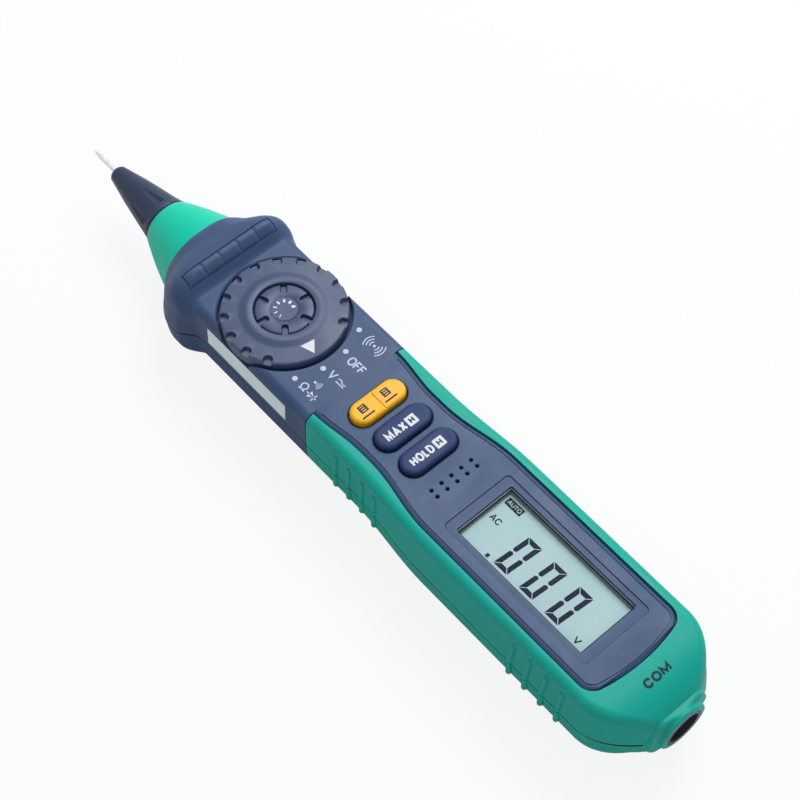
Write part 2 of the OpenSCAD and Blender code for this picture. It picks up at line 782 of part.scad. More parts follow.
// Helpers for shapes that repeat
module on_probe(y) {
    translate([0, y, probe_z])
        rotate([-90, 0, 0])
            children();
}
module on_socket(y) {
    translate([0, y, socket_z])
        rotate([-90, 0, 0])
            children();
}
module round_plate(w, l, r, h) {
    linear_extrude(height = h) {
        square([w - 2 * r, l], center = true);
        square([w, l - 2 * r], center = true);
        for (x = [-1, 1])
            for (y = [-1, 1])
                translate([x * (w / 2 - r), y * (l / 2 - r)])
                    circle(r = r);
    }
}
module slot_plate(l, w, h) {
    linear_extrude(height = h) {
        square([l - w, w], center = true);
        for (x = [-1, 1])
            translate([x * (l - w) / 2, 0])
                circle(d = w);
    }
}
module mid_box(w, l, h) {
    translate([-w / 2, -l / 2, 0])
        cube([w, l, h]);
}
// Both pairs of casing screws: front pair at height zf, rear pair at height zr
module at_front_screws(z) {
    for (x = [-1, 1])
        translate([x * screw_front_w / 2, screw_front_y, z])
            children();
}
module at_rear_screws(z) {
    for (x = [-1, 1])
        translate([x * screw_rear_w / 2, screw_rear_y, z])
            children();
}
module at_screws(z) {
    at_front_screws(z)
        children();
    at_rear_screws(z)
        children();
}
front_post_low_z = wall_t * 0.7;
rear_post_low_z = grip_t + wall_t + 8 * lay;
front_post_top_z = top_z(screw_front_y) - wall_t * 0.6;
rear_post_top_z = face_z - grip_t - wall_t * 0.6;

// Key places and heights

module key_holes() {
    for (k = [-1 : 1])
        translate([0, key_y - k * key_pitch, plate_low_z - over])
            slot_plate(key_l + 2 * key_gap, key_w + 2 * key_gap, face_z - plate_low_z + 2 * over);
}

module upper_casing() {
    color([0.23, 0.27, 0.34])
        difference() {
            union() {
                upper_shell();
                at_front_screws(seam_z)
                    cylinder(d = top_post_d, h = front_post_top_z - seam_z);
                at_rear_screws(seam_z)
                    cylinder(d = top_post_d, h = rear_post_top_z - seam_z);
            }
            // dial recess and the hub's bore
            translate([0, dial_y, recess_z])
                cylinder(d = recess_d, h = guard_z - recess_z + over);
            translate([0, dial_y, recess_z - floor_t - over])
                cylinder(d = hub_d + 2 * fit, h = floor_t + 2 * over);
            translate([0, dial_y + ball_place_r, recess_z - ball_well])
                cylinder(d = ball_d + 2 * fit, h = ball_well + over);
            // grooves between the guard's pads
            for (k = [0 : groove_n - 1])
                translate([(k - (groove_n - 1) / 2) * groove_pitch, guard_y, guard_z - ridge_r])
                    difference() {
                        translate([-groove_w / 2, groove_w - ridge_r * 0.7, ridge_r * 0.6])
                            cube([groove_w, ridge_r * 1.3, ridge_r]);
                        rotate([0, 90, 0])
                            cylinder(r = ridge_r - groove_d, h = 2 * groove_w, center = true);
                    }
            key_holes();
            // sounder holes
            for (k = [0 : hole_n - 1])
                for (r = [-1, 1])
                    translate([(k - (hole_n - 1) / 2) * hole_pitch, sounder_y + r * hole_row / 2, plate_low_z - over])
                        cylinder(d = hole_d, h = face_z - plate_low_z + 2 * over);
            // window, its sunken frame and the rebate for the clear window
            translate([0, display_y, plate_low_z - over])
                round_plate(display_w, display_l, frame_d, face_z - plate_low_z + 2 * over);
            translate([0, display_y, face_z - frame_d])
                round_plate(frame_w, frame_l, 4 * frame_d, frame_d + over);
            translate([0, display_y, plate_low_z - over])
                mid_box(frame_w + 2 * fit, frame_l + 2 * fit, lens_z - plate_low_z + over);
            // bores for screws and socket
            at_screws(seam_z - over)
                cylinder(d = pilot_d, h = screw_seat_z + screw_l + 2 * over - seam_z);
            on_socket(socket_y - over)
                cylinder(d = shroud_d + 2 * fit, h = socket_l + 2 * over);
        }
}

module cover_opening(g, z, h) {
    translate([0, cover_mid_y, z])
        round_plate(cover_w + 2 * g, cover_front_y - cover_rear_y + 2 * g, cover_r + g, h);
}

module lower_casing() {
    color([0.22, 0.26, 0.33])
        difference() {
            union() {
                difference() {
                    lower_shell();
                    cover_opening(cover_gap, -over, hook_z + 2 * hook_t + over);
                }
                at_front_screws(front_post_low_z)
                    cylinder(d = post_d, h = seam_z - front_post_low_z);
                at_rear_screws(rear_post_low_z)
                    cylinder(d = post_d, h = seam_z - rear_post_low_z);
                for (x = [-1, 1])
                    for (y = [support_front_y, support_rear_y])
                        translate([x * support_w / 2, y, y > grip_y ? front_post_low_z : rear_post_low_z])
                            cylinder(d = support_d, h = board_z - (y > grip_y ? front_post_low_z : rear_post_low_z));
                // end walls of the battery bay and the cover screw's post
                translate([0, bay_plate_y + cell_plate_t + bay_wall_t / 2, bay_low_z])
                    mid_box(bay_w, bay_wall_t, bay_top_z - bay_low_z);
                translate([0, bay_rear_y - cell_plate_t - bay_wall_t / 2, bay_low_z])
                    mid_box(bay_w, bay_wall_t, bay_top_z - bay_low_z);
                translate([0, cover_screw_y, cover_t + lay])
                    cylinder(d = post_d, h = cover_screw_post_h);
                translate([0, (cover_screw_y + bay_plate_y + cell_plate_t) / 2, bay_low_z])
                    mid_box(post_d * 0.8, cover_screw_y - bay_plate_y - cell_plate_t, cover_screw_post_h / 2);
            }
            translate([0, cover_screw_y, 0])
                cylinder(d = pilot_d, h = cover_t + cover_screw_post_h - post_wall);
            at_screws(-over) {
                cylinder(d = screw_head_d + 4 * fit, h = screw_seat_z + over);
                cylinder(d = pilot_d, h = seam_z + 2 * over);
            }
            on_socket(socket_y - over)
                cylinder(d = shroud_d + 2 * fit, h = socket_l + 2 * over);
        }
}

// Rib that follows a side wall: upper part over the parting line, lower part under
module rib_up(y) {
    h = top_z(y) - seam_z - up_r(y);
    for (s = [-1, 1])
        round_rod([s * (half_w(y) - rib_sink), y, seam_z + rib_foot],
                      [s * (half_w(y) - rib_sink - lean(y) * (rib_top_z - seam_z) / h), y, rib_top_z]);
}
module rib_low(y) {
    for (s = [-1, 1])
        round_rod([s * (half_w(y) - rib_sink), y, seam_z - rib_foot],
                      [s * (half_w(y) - rib_sink), y, rib_low_z]);
}
// Round rod from a to b with a round end at b
module round_rod(a, b) {
    d = b - a;
    l = norm(d);
    translate(a)
        rotate([0, acos(d[2] / l) * (d[0] < 0 ? -1 : 1), 0])
            cylinder(r = rib_r, h = l);
    translate(b)
        sphere(r = rib_r);
}

// Half of the soft boss round the socket
module half_boss(up) {
    intersection() {
        on_socket(socket_y + boss_back)
            rotate_extrude()
                polygon([
                    [shroud_d / 2 - fit, 0],
                    [boss_d / 2 - boss_edge_r, 0],
                    for (k = [0 : 4])
                        [boss_d / 2 - boss_edge_r + boss_edge_r * sin(90 * k / 4), boss_edge_r - boss_edge_r * cos(90 * k / 4)],
                    [boss_d / 2 + boss_edge_r / 2, rear_y - tail_cap_t - socket_y - boss_back + tail_cap_t / 3],
                    [shroud_d / 2 - fit, rear_y - tail_cap_t - socket_y - boss_back + tail_cap_t / 3]
                ]);
        translate([-boss_d, socket_y - over, up > 0 ? seam_z : seam_z - boss_d])
            cube([2 * boss_d, 2 * boss_d, boss_d]);
    }
}

module upper_grip() {
    color([0, 0.55, 0.47])
        difference() {
            union() {
                grip_shell(1);
                for (y = rib_places)
                    rib_up(y);
                half_boss(1);
            }
            translate([0, 0, seam_z + (face_z - seam_z) / 2])
                linear_extrude(height = face_z)
                    plate_outline(lip_gap);
            on_socket(socket_y - over)
                cylinder(d = shroud_d + 2 * fit, h = socket_l);
        }
}

module lower_grip() {
    color([0, 0.5, 0.44])
        difference() {
            union() {
                grip_shell(-1);
                for (y = rib_places)
                    rib_low(y);
                half_boss(-1);
            }
            cover_opening(cover_gap, -over, hook_z + 2 * hook_t + over);
            at_rear_screws(-over)
                cylinder(d = screw_head_d + 4 * fit, h = seam_z / 2);
            on_socket(socket_y - over)
                cylinder(d = shroud_d + 2 * fit, h = socket_l);
        }
}

// Bright ring behind the nose cone, hollow, with a neck that takes the cone's stub
function ring_r(t) = mix(ring_back_r, ring_front_d / 2, t) + ring_belly * sin(180 * t);
module nose_ring() {
    color([0, 0.78, 0.62])
        on_probe(collar_y)
            difference() {
                rotate_extrude()
                    polygon(concat(
                        [[spigot_r - spigot_t, -spigot_l], [spigot_r, -spigot_l], [spigot_r, 0]],
                        [for (k = [0 : ring_steps]) [ring_r(k / ring_steps), ring_l * k / ring_steps]],
                        [[stub_d / 2 + fit, ring_l], [stub_d / 2 + fit, ring_l - stub_l - 2 * fit],
                         [stub_d / 2 + ring_t, ring_l - stub_l - 2 * fit]],
                        [for (k = [ring_steps - 5 : -1 : 2]) [ring_r(k / ring_steps) - ring_t, ring_l * k / ring_steps - k * lay]],
                        [[spigot_r - spigot_t, ring_t]]
                    ));
            }
}

module nose_seal() {
    color([0.06, 0.06, 0.07])
        on_probe(ring_front_y)
            difference() {
                cylinder(d = ring_front_d - 8 * fit, h = seal_t);
                translate([0, 0, -over])
                    cylinder(d = stub_d + 2 * fit, h = seal_t + 2 * over);
            }
}

// Nose cone: a turned cone with a stub, a bore for the holder and finger flutes
function cone_at(t) = mix(cone_r, cone_tip_d / 2, t);
module nose_cone() {
    color([0.16, 0.19, 0.24])
        on_probe(cone_y)
            difference() {
                rotate_extrude()
                    polygon(concat(
                        [[0, -stub_l - seal_t + fit], [stub_d / 2, -stub_l - seal_t + fit], [stub_d / 2, 0]],
                        [for (s = cone_shares) [cone_at(s[0]) - cone_r * s[1], cone_l * s[0]]],
                        [for (k = [1 : 3])
                            [cone_at(0.93) - cone_tip_d / 4 * (1 - cos(30 * k)), cone_l * (0.93 + 0.07 * sin(30 * k))]],
                        [[0, cone_l]]
                    ));
                translate([0, 0, -stub_l - 2 * seal_t])
                    cylinder(d = holder_d + 2 * fit, h = holder_front_y - cone_y + stub_l + 2 * seal_t);
                cylinder(d = shank_d + 2 * fit, h = cone_l + over);
                for (k = [0 : flute_n - 1])
                    rotate([0, 0, 360 * (k + 0.5) / flute_n])
                        translate([cone_at(0.36) + flute_r - flute_depth, 0, cone_l * 0.36])
                            rotate([0, -atan((cone_r - cone_tip_d / 2) / cone_l), 0])
                                translate([0, 0, -cone_l * 0.25])
                                    cylinder(r1 = flute_r, r2 = flute_r / 2, h = cone_l * 0.55);
            }
}

module probe_needle() {
    color([0.8, 0.8, 0.82])
        on_probe(holder_front_y - needle_in) {
            cylinder(d = needle_d, h = needle_tip_y - needle_point_l - holder_front_y + needle_in);
            cylinder(d = shank_d, h = cone_tip_y + shank_out - holder_front_y + needle_in);
            translate([0, 0, needle_tip_y - needle_point_l - holder_front_y + needle_in])
                cylinder(d1 = needle_d, d2 = needle_d / 8, h = needle_point_l);
        }
}

module needle_holder() {
    color([0.78, 0.62, 0.3])
        on_probe(holder_rear_y)
            difference() {
                cylinder(d = holder_d, h = holder_front_y - holder_rear_y - lay);
                translate([0, 0, holder_front_y - needle_in - holder_rear_y])
                    cylinder(d = shank_d + fit, h = needle_in + over);
            }
}

module contact_bar() {
    color([0.8, 0.66, 0.35]) {
        translate([0, (bar_rear_y + holder_rear_y - lay) / 2, board_top_z])
            mid_box(bar_w, holder_rear_y - lay - bar_rear_y, bar_t);
        translate([0, holder_rear_y - lay - bar_t / 2, probe_z - holder_d / 3])
            mid_box(bar_w, bar_t, board_top_z - probe_z + holder_d / 3);
    }
}

// Function dial with thumb notches all round but beside the pointer
module dial() {
    color([0.2, 0.23, 0.3])
        translate([0, dial_y, 0])
            difference() {
                rotate_extrude()
                    polygon(concat(
                        [[stem_d / 2 + fit, rotor_low_z], [stub_hub_d / 2, rotor_low_z], [stub_hub_d / 2, hub_low_z],
                         [hub_d / 2, hub_low_z], [hub_d / 2, dial_low_z], [dial_r - rim_r / 2, dial_low_z],
                         [dial_r, dial_low_z + rim_r / 2]],
                        [for (k = [0 : 4])
                            [dial_r - rim_r + rim_r * cos(90 * k / 4), dial_ring_z - rim_r + rim_r * sin(90 * k / 4)]],
                        [for (k = [0 : 6])
                            [mix(shoulder_out_d, shoulder_in_d, k / 6) / 2,
                             mix(dial_ring_z, dial_top_z, (1 - cos(180 * k / 6)) / 2)]],
                        [[knob_pocket_d / 2 + rim_r / 3, dial_top_z], [knob_pocket_d / 2, dial_top_z - rim_r / 3],
                         [knob_pocket_d / 2, knob_floor_z], [stem_d / 2 + fit, knob_floor_z]]
                    ));
                for (k = [1 + notch_skip : notch_n - 1 - notch_skip])
                    rotate([0, 0, pointer_a + 360 * k / notch_n])
                        translate([notch_place_r, 0, dial_ring_z - notch_depth]) {
                            cylinder(r = notch_r, h = notch_depth + over);
                            translate([0, -notch_r, 0])
                                cube([dial_r - notch_place_r + over, 2 * notch_r, notch_depth + over]);
                        }
                // dimples that the detent ball drops into
                for (k = [-1 : 2])
                    rotate([0, 0, 90 - k * click_a])
                        translate([ball_place_r, 0, dial_low_z - ball_d / 4])
                            sphere(d = ball_d);
            }
}

module contact_rotor() {
    color([0.85, 0.82, 0.72])
        translate([0, dial_y, rotor_low_z])
            difference() {
                cylinder(d = rotor_d, h = rotor_t);
                translate([0, 0, -over])
                    cylinder(d = stub_hub_d + fit, h = rotor_t + 2 * over);
            }
}

module rotor_brushes() {
    color([0.8, 0.66, 0.35])
        translate([0, dial_y, 0])
            for (k = [0 : brush_n - 1])
                rotate([0, 0, 60 + 360 * k / brush_n])
                    translate([rotor_d / 2 - 1.4 * brush_w, 0, board_top_z + fit])
                        difference() {
                            mid_box(brush_w, 3 * brush_w, rotor_low_z - board_top_z - fit);
                            translate([0, brush_w, bar_t])
                                mid_box(2 * brush_w, 2 * brush_w, rotor_low_z - board_top_z - fit - 2 * bar_t);
                        }
}

module detent_ball() {
    color([0.8, 0.8, 0.82])
        translate([0, dial_y + ball_place_r, dial_low_z - lay - ball_d / 2])
            sphere(d = ball_d);
}
module detent_spring() {
    color([0.7, 0.7, 0.72])
        translate([0, dial_y + ball_place_r, recess_z - ball_well])
            cylinder(d = ball_d * 0.8, h = dial_low_z - lay - ball_d - recess_z + ball_well);
}

// Sensitivity knob, turned by a fingertip in its slots
module sens_knob() {
    color([0.17, 0.2, 0.26])
        translate([0, dial_y, 0])
            difference() {
                rotate_extrude()
                    polygon([
                        [0, stem_low_z], [stem_d / 2, stem_low_z], [stem_d / 2, knob_low_z], [knob_d / 2, knob_low_z],
                        for (k = [0 : 3])
                            [knob_d / 2 - knob_edge_r + knob_edge_r * cos(30 * k), knob_top_z - knob_edge_r + knob_edge_r * sin(30 * k)],
                        [0, knob_top_z]
                    ]);
                for (k = [0 : knob_slot_n - 1])
                    rotate([0, 0, 52 + 360 * k / knob_slot_n])
                        translate([knob_slot_r, 0, knob_top_z - knob_slot_depth]) {
                            cylinder(d = knob_slot_w, h = knob_slot_depth + over);
                            translate([0, -knob_slot_w / 2, 0])
                                cube([knob_d / 2 - knob_slot_r + over, knob_slot_w, knob_slot_depth + over]);
                        }
                translate([0, 0, knob_top_z - cap_sink])
                    cylinder(d = knob_cap_d + fit, h = cap_sink + over);
            }
}
module sens_cap() {
    color([0.2, 0.23, 0.3])
        translate([0, dial_y, knob_top_z - cap_sink])
            cylinder(d = knob_cap_d, h = cap_sink + fit);
}

// Key with a rounded upper edge and a flange under the face
module key_cap(y, drop) {
    translate([0, key_y + y, 0]) {
        hull()
            for (x = [-1, 1])
                translate([x * (key_l - key_w) / 2, 0, 0])
                    rotate_extrude($fn = 36)
                        polygon([
                            [0, key_flange_z - drop - key_flange_t / 2],
                            [key_w / 2, key_flange_z - drop - key_flange_t / 2],
                            for (k = [0 : 4])
                                [key_w / 2 - key_edge_r + key_edge_r * cos(90 * k / 4),
                                 key_top_z - key_edge_r + key_edge_r * sin(90 * k / 4)],
                            [0, key_top_z]
                        ]);
        translate([0, 0, key_flange_z - drop - key_flange_t])
            slot_plate(key_l + 2 * key_flange, key_w + 2 * key_flange, key_flange_t);
    }
}
module range_func_key() {
    color([0.95, 0.68, 0.1])
        difference() {
            union() {
                key_cap(key_pitch, rocker_room);
                translate([0, key_y + key_pitch + key_w / 2 + key_flange, key_flange_z - ridge_d / 2])
                    rotate([90, 0, 0])
                        cylinder(d = ridge_d, h = key_w + 2 * key_flange);
            }
            translate([0, key_y + key_pitch, key_top_z - crease_d])
                mid_box(crease_w, key_w + over, crease_d + over);
        }
}
module max_key() {
    color([0.18, 0.21, 0.28])
        key_cap(0, 0);
}
module data_key() {
    color([0.18, 0.21, 0.28])
        key_cap(-key_pitch, 0);
}

// Rubber mat on the board with a dome under each end of the rocker and each key
module key_mat() {
    color([0.82, 0.8, 0.76])
        translate([0, key_y, board_top_z]) {
            mid_box(key_l + 2 * key_flange, 2 * key_pitch + key_w, mat_t);
            for (p = [[-key_l * 0.3, key_pitch], [key_l * 0.3, key_pitch], [0, 0], [0, -key_pitch]])
                translate([p[0], p[1], 0])
                    cylinder(d1 = dome_d, d2 = dome_d * 0.7, h = dome_top_z - board_top_z);
        }
}

module lcd_lens() {
    color([0.85, 0.9, 0.9, 0.4])
        translate([0, display_y, lens_z - lens_t])
            mid_box(frame_w, frame_l, lens_t);
}
module lcd_panel() {
    color([0.66, 0.81, 0.79])
        translate([0, display_y, glass_low_z])
            mid_box(frame_w, frame_l, glass_t);
}
module lcd_holder() {
    color([0.9, 0.9, 0.88])
        translate([0, display_y, board_top_z])
            difference() {
                mid_box(frame_w, frame_l, glass_low_z - board_top_z);
                translate([0, 0, -over])
                    mid_box(frame_w - 2 * holder_wall_t - 2 * strip_w, frame_l - 2 * holder_wall_t,
                            glass_low_z - board_top_z + 2 * over);
                for (x = [-1, 1])
                    translate([x * (frame_w / 2 - holder_wall_t - strip_w / 2), 0, -over])
                        mid_box(strip_w + fit, frame_l - 4 * holder_wall_t, glass_low_z - board_top_z + 2 * over);
            }
}
module contact_strips() {
    color([0.85, 0.45, 0.5])
        for (x = [-1, 1])
            translate([x * (frame_w / 2 - holder_wall_t - strip_w / 2), display_y, board_top_z])
                mid_box(strip_w, frame_l - 4 * holder_wall_t - fit, glass_low_z - board_top_z);
}

module main_board() {
    color([0.1, 0.4, 0.22])
        translate([0, 0, board_z])
            difference() {
                linear_extrude(height = board_t)
                    polygon([
                        for (s = [1, -1])
                            for (p = s > 0 ? board_half : [for (k = [len(board_half) - 1 : -1 : 0]) board_half[k]])
                                [s * p[0], p[1]]
                    ]);
                translate([0, sounder_y, -over])
                    cylinder(d = sounder_d / 3, h = board_t + 2 * over);
            }
}

module measuring_chip() {
    color([0.07, 0.07, 0.08])
        translate([0, key_y, board_z - chip_t])
            cylinder(d1 = chip_w * 0.7, d2 = chip_w, h = chip_t);
}
module alarm_lamp() {
    color([0.9, 0.3, 0.25])
        translate([lamp_x, board_front_y - lamp_l, board_top_z + lamp_d / 2])
            rotate([-90, 0, 0]) {
                cylinder(d = lamp_d, h = lamp_l);
                translate([0, 0, lamp_l])
                    sphere(d = lamp_d);
            }
}
module sounder() {
    color([0.08, 0.08, 0.09])
        translate([0, sounder_y, board_z - sounder_h])
            difference() {
                cylinder(d = sounder_d, h = sounder_h);
                translate([0, 0, sounder_h / 2])
                    cylinder(d = sounder_d / 5, h = sounder_h);
            }
}
module sens_potentiometer() {
    color([0.15, 0.3, 0.55])
        translate([0, dial_y, board_top_z])
            difference() {
                cylinder(d = pot_d, h = pot_h);
                translate([0, 0, pot_h - pot_in - fit])
                    cylinder(d = stem_d + 2 * fit, h = pot_h);
            }
}

module battery_cells() {
    color([0.2, 0.35, 0.65])
        for (s = [-1, 1])
            translate([s * cell_x, s < 0 ? bay_plate_y : bay_rear_y, cell_z])
                rotate([s < 0 ? 90 : -90, 0, 0]) {
                    cylinder(d = nub_d, h = nub_l + over / 2);
                    translate([0, 0, nub_l])
                        cylinder(d = cell_d, h = cell_l);
                }
}
module cell_springs() {
    color([0.8, 0.8, 0.82])
        for (s = [-1, 1])
            translate([s * cell_x, s < 0 ? bay_rear_y : bay_plate_y, cell_z])
                rotate([s < 0 ? -90 : 90, 0, 0])
                    difference() {
                        cylinder(d1 = cell_d * 0.6, d2 = cell_d * 0.4, h = spring_l);
                        translate([0, 0, -over])
                            cylinder(d1 = cell_d * 0.6 - 2 * wire_d, d2 = cell_d * 0.4 - 2 * wire_d, h = spring_l + 2 * over);
                    }
}
module cell_plates() {
    color([0.8, 0.8, 0.82]) {
        for (s = [-1, 1])
            translate([s * cell_x, bay_plate_y + cell_plate_t / 2, cell_z - cell_d * 0.3])
                mid_box(cell_d * 0.9, cell_plate_t, cell_d * 0.7);
        translate([0, bay_rear_y - cell_plate_t / 2, cell_z - cell_d * 0.3])
            mid_box(2 * cell_x + cell_d * 0.9, cell_plate_t, cell_d * 0.7);
    }
}

// Skin of the back where the cover lies, as thick as the cover
module cover_skin() {
    strip([for (y = cover_stations) [lay_at(low_arc(y, 0), y), lay_at(low_arc(y, cover_t), y)]], -1);
}
module battery_cover() {
    color([0.22, 0.26, 0.33])
        difference() {
            union() {
                intersection() {
                    cover_skin();
                    cover_opening(0, -over, hook_z + 2 * hook_t + over);
                }
                for (x = [-1, 1])
                    translate([x * cover_w / 6, cover_rear_y - hook_l / 2 + hook_t, hook_z])
                        mid_box(hook_w, hook_l + 2 * hook_t, hook_t);
                for (x = [-1, 1])
                    translate([x * cover_w / 6, cover_rear_y + hook_t / 2 + cover_gap, cover_t - lay])
                        mid_box(hook_w, hook_t, hook_z + hook_t / 2 - cover_t);
            }
            translate([0, cover_screw_y, -over])
                cylinder(d = pilot_d, h = cover_t + 2 * over);
            translate([0, cover_screw_y, -over])
                cylinder(d = screw_head_d + 4 * fit, h = over + cover_t * 0.6);
            for (k = [0 : thumb_n - 1])
                translate([0, cover_screw_y - 4 * thumb_pitch - k * thumb_pitch, -lay])
                    mid_box(cover_w / 2, thumb_pitch / 3, cover_edge + lay);
        }
}

module machine_screw(z, head_t, l) {
    difference() {
        union() {
            translate([0, 0, z - head_t])
                cylinder(d = screw_head_d, h = head_t);
            translate([0, 0, z])
                cylinder(d = screw_d, h = l);
        }
        for (a = [0, 90])
            rotate([0, 0, a])
                translate([0, 0, z - head_t - over])
                    mid_box(screw_head_d * 0.6, screw_head_d / 8, over + head_t / 2);
    }
}
module cover_screw() {
    color([0.72, 0.72, 0.74])
        translate([0, cover_screw_y, 0])
            machine_screw(cover_t * 0.6, cover_t * 0.6 - cover_edge, cover_screw_post_h);
}
module casing_screws() {
    color([0.72, 0.72, 0.74])
        at_screws(0)
            machine_screw(screw_seat_z, screw_head_t, screw_l);
}

// Tail socket: shroud with a sleeve in its middle, and the contact tube in that
module jack_shroud() {
    color([0.08, 0.08, 0.1])
        on_socket(socket_y)
            difference() {
                cylinder(d = shroud_d, h = socket_l);
                difference() {
                    translate([0, 0, -over])
                        cylinder(d = shroud_bore_d, h = socket_l - base_t + over);
                    translate([0, 0, sleeve_back])
                        cylinder(d = sleeve_d, h = socket_l);
                }
                translate([0, 0, -over])
                    cylinder(d = tube_d + fit, h = socket_l + 2 * over);
            }
}
module jack_contact() {
    color([0.8, 0.68, 0.4]) {
        on_socket(socket_y + 2 * sleeve_back)
            difference() {
                cylinder(d = tube_d, h = tube_l);
                translate([0, 0, -over])
                    cylinder(d = contact_bore_d, h = tube_l - contact_t + over);
            }
        translate([-tab_t, socket_y + 2 * sleeve_back + tube_l - contact_t / 2, board_top_z])
            cube([2 * tab_t, board_rear_y - socket_y - 2 * sleeve_back - tube_l + 2 * tab_t, tab_t]);
    }
}

module label_strip() {
    color([0.9, 0.92, 0.94])
        translate([-neck_w / 2 + neck_lean * (label_z - seam_z) / (face_z - seam_z - shoulder_r) - lay, label_y, label_z])
            rotate([0, atan(neck_lean / (face_z - seam_z - shoulder_r)), 0])
                translate([-label_t, 0, 0])
                    cube([label_t, label_l, label_h]);
}

upper_casing();
lower_casing();
upper_grip();
lower_grip();
nose_ring();
nose_seal();
nose_cone();
probe_needle();
needle_holder();
contact_bar();
dial();
contact_rotor();
rotor_brushes();
detent_ball();
detent_spring();
sens_knob();
sens_cap();
range_func_key();
max_key();
data_key();
key_mat();
lcd_lens();
lcd_panel();
lcd_holder();
contact_strips();
main_board();
measuring_chip();
alarm_lamp();
sounder();
sens_potentiometer();
battery_cells();
cell_springs();
cell_plates();
battery_cover();
cover_screw();
casing_screws();
jack_shroud();
jack_contact();
label_strip();
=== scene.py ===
import math

import bmesh
import bpy
from mathutils import Matrix, Vector


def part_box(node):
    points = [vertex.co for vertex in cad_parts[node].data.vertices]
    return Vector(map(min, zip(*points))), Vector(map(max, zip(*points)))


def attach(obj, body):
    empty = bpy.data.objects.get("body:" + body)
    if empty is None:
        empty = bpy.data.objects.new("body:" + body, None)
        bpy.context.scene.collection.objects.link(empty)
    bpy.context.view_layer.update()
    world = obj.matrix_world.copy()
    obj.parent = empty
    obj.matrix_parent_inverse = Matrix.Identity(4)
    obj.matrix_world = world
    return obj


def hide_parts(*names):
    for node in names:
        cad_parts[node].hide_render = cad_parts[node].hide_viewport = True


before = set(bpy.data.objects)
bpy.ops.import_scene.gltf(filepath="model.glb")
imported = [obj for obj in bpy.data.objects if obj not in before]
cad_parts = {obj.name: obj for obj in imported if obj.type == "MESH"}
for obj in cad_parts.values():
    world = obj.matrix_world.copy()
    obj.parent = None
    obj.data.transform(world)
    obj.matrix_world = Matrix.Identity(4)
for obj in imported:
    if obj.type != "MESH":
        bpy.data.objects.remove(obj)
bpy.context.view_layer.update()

bl_info = {
    "name": "Pen meter dressing",
    "version": (1, 0, 0),
    "blender": (4, 5, 0),
    "location": "3D View > Sidebar > Pen meter",
    "description": "Dresses the packed pen meter: housing skins, legends, display and finishes",
    "category": "Object",
}

MM = 0.001


def paint(r, g, b):
    """An eight-bit screen colour as the linear colour that Blender's sockets take."""
    return tuple((c / 12.92 if c <= 0.04045 else ((c + 0.055) / 1.055) ** 2.4)
                 for c in (r / 255, g / 255, b / 255))


# Outer form, in millimetres: places along the body from the nose back, and heights
COLLAR_Y, GUARD_Y, GUARD_BACK, VALLEY_Y, NECK_Y = 58.3, 48.6, 47.0, 43.6, 41.0
GRIP_Y, WAIST_Y, BODY_Y, TAIL_Y, REAR_Y = 2.3, -14.0, -40.0, -88.0, -101.3
PROBE_Z, SEAM_Z, FACE_Z, COLLAR_TOP, CROWN_Z = 13.7, 14.4, 25.0, 26.4, 29.24
# Half widths and corner radii at those places, and how far the tail draws in, down and up
COLLAR_HALF, GUARD_HALF, WAIST_HALF, BODY_HALF = 12.7, 18.8, 15.5, 17.6
GUARD_R, FACE_R, UNDER_R = 7.8, 2.3, 11.0
TAIL_IN, TAIL_DOWN, TAIL_UP, TAIL_POWER = 8.6, 4.2, 4.4, 3.2
# Wall of the casing, the grip over it, and the chamfer at the parting line
WALL, GRIP, CHAMFER = 1.7, 1.2, 0.22
# The dial's recess, and what the wall gains round it between two stretches of the neck
DIAL_Y, RECESS_Z, RECESS_R = 27.7, 22.3, 15.9
DIAL_WALL, DIAL_WALL_FRONT, DIAL_WALL_BACK = 3.2, (52.9, 49.5), (12.5, 9.1)
# Face plate: width at the grip and at the waist, gain to the display, rear corners, bow, bevel and end
PLATE_FRONT, PLATE_WAIST, PLATE_GAIN = 24.8, 22.0, 2.55
CORNER_Y, CORNER_R, PLATE_BOW, BEVEL_W, BEVEL_H = -84.9, 3.8, 1.23, 0.9, 0.6
PLATE_REAR, BEHIND_PLATE = -88.57, -91.46
# Openings: the window and the sill round it, the keys, the battery cover, the jack and the rear screws
WINDOW_W, WINDOW_L, SILL_W, SILL_L, WINDOW_Y = 16.7, 39.2, 19.6, 44.4, -60.5
KEY_W, KEY_L, KEY_YS = 15.8, 7.0, (-5.4, -14.0, -22.6)
COVER_W, COVER_L, COVER_R, COVER_Y = 22.5, 56.5, 2.75, -58.6
JACK_R, JACK_REAR, REAR_SCREW_X = 5.16, -106, 8.4


def way(y, a, b):
    """Share of the way from a to b, kept between 0 and 1."""
    return max(0.0, min(1.0, (y - a) / (b - a)))


def ease(y, a, b):
    """The same share, smooth at both ends."""
    return (1 - math.cos(math.pi * way(y, a, b))) / 2


def mix(a, b, t):
    """The value a share t of the way from a to b."""
    return a + (b - a) * t


def half_w(y):
    """Half width of the housing at the parting line."""
    if y > GUARD_Y:
        return mix(COLLAR_HALF, GUARD_HALF, math.sin(math.pi / 2 * way(y, COLLAR_Y, GUARD_Y)))
    if y > WAIST_Y:
        return mix(GUARD_HALF, WAIST_HALF, ease(y, GUARD_BACK, NECK_Y))
    return mix(WAIST_HALF, BODY_HALF, ease(y, WAIST_Y, BODY_Y)) - TAIL_IN * way(y, TAIL_Y, REAR_Y) ** 2.1


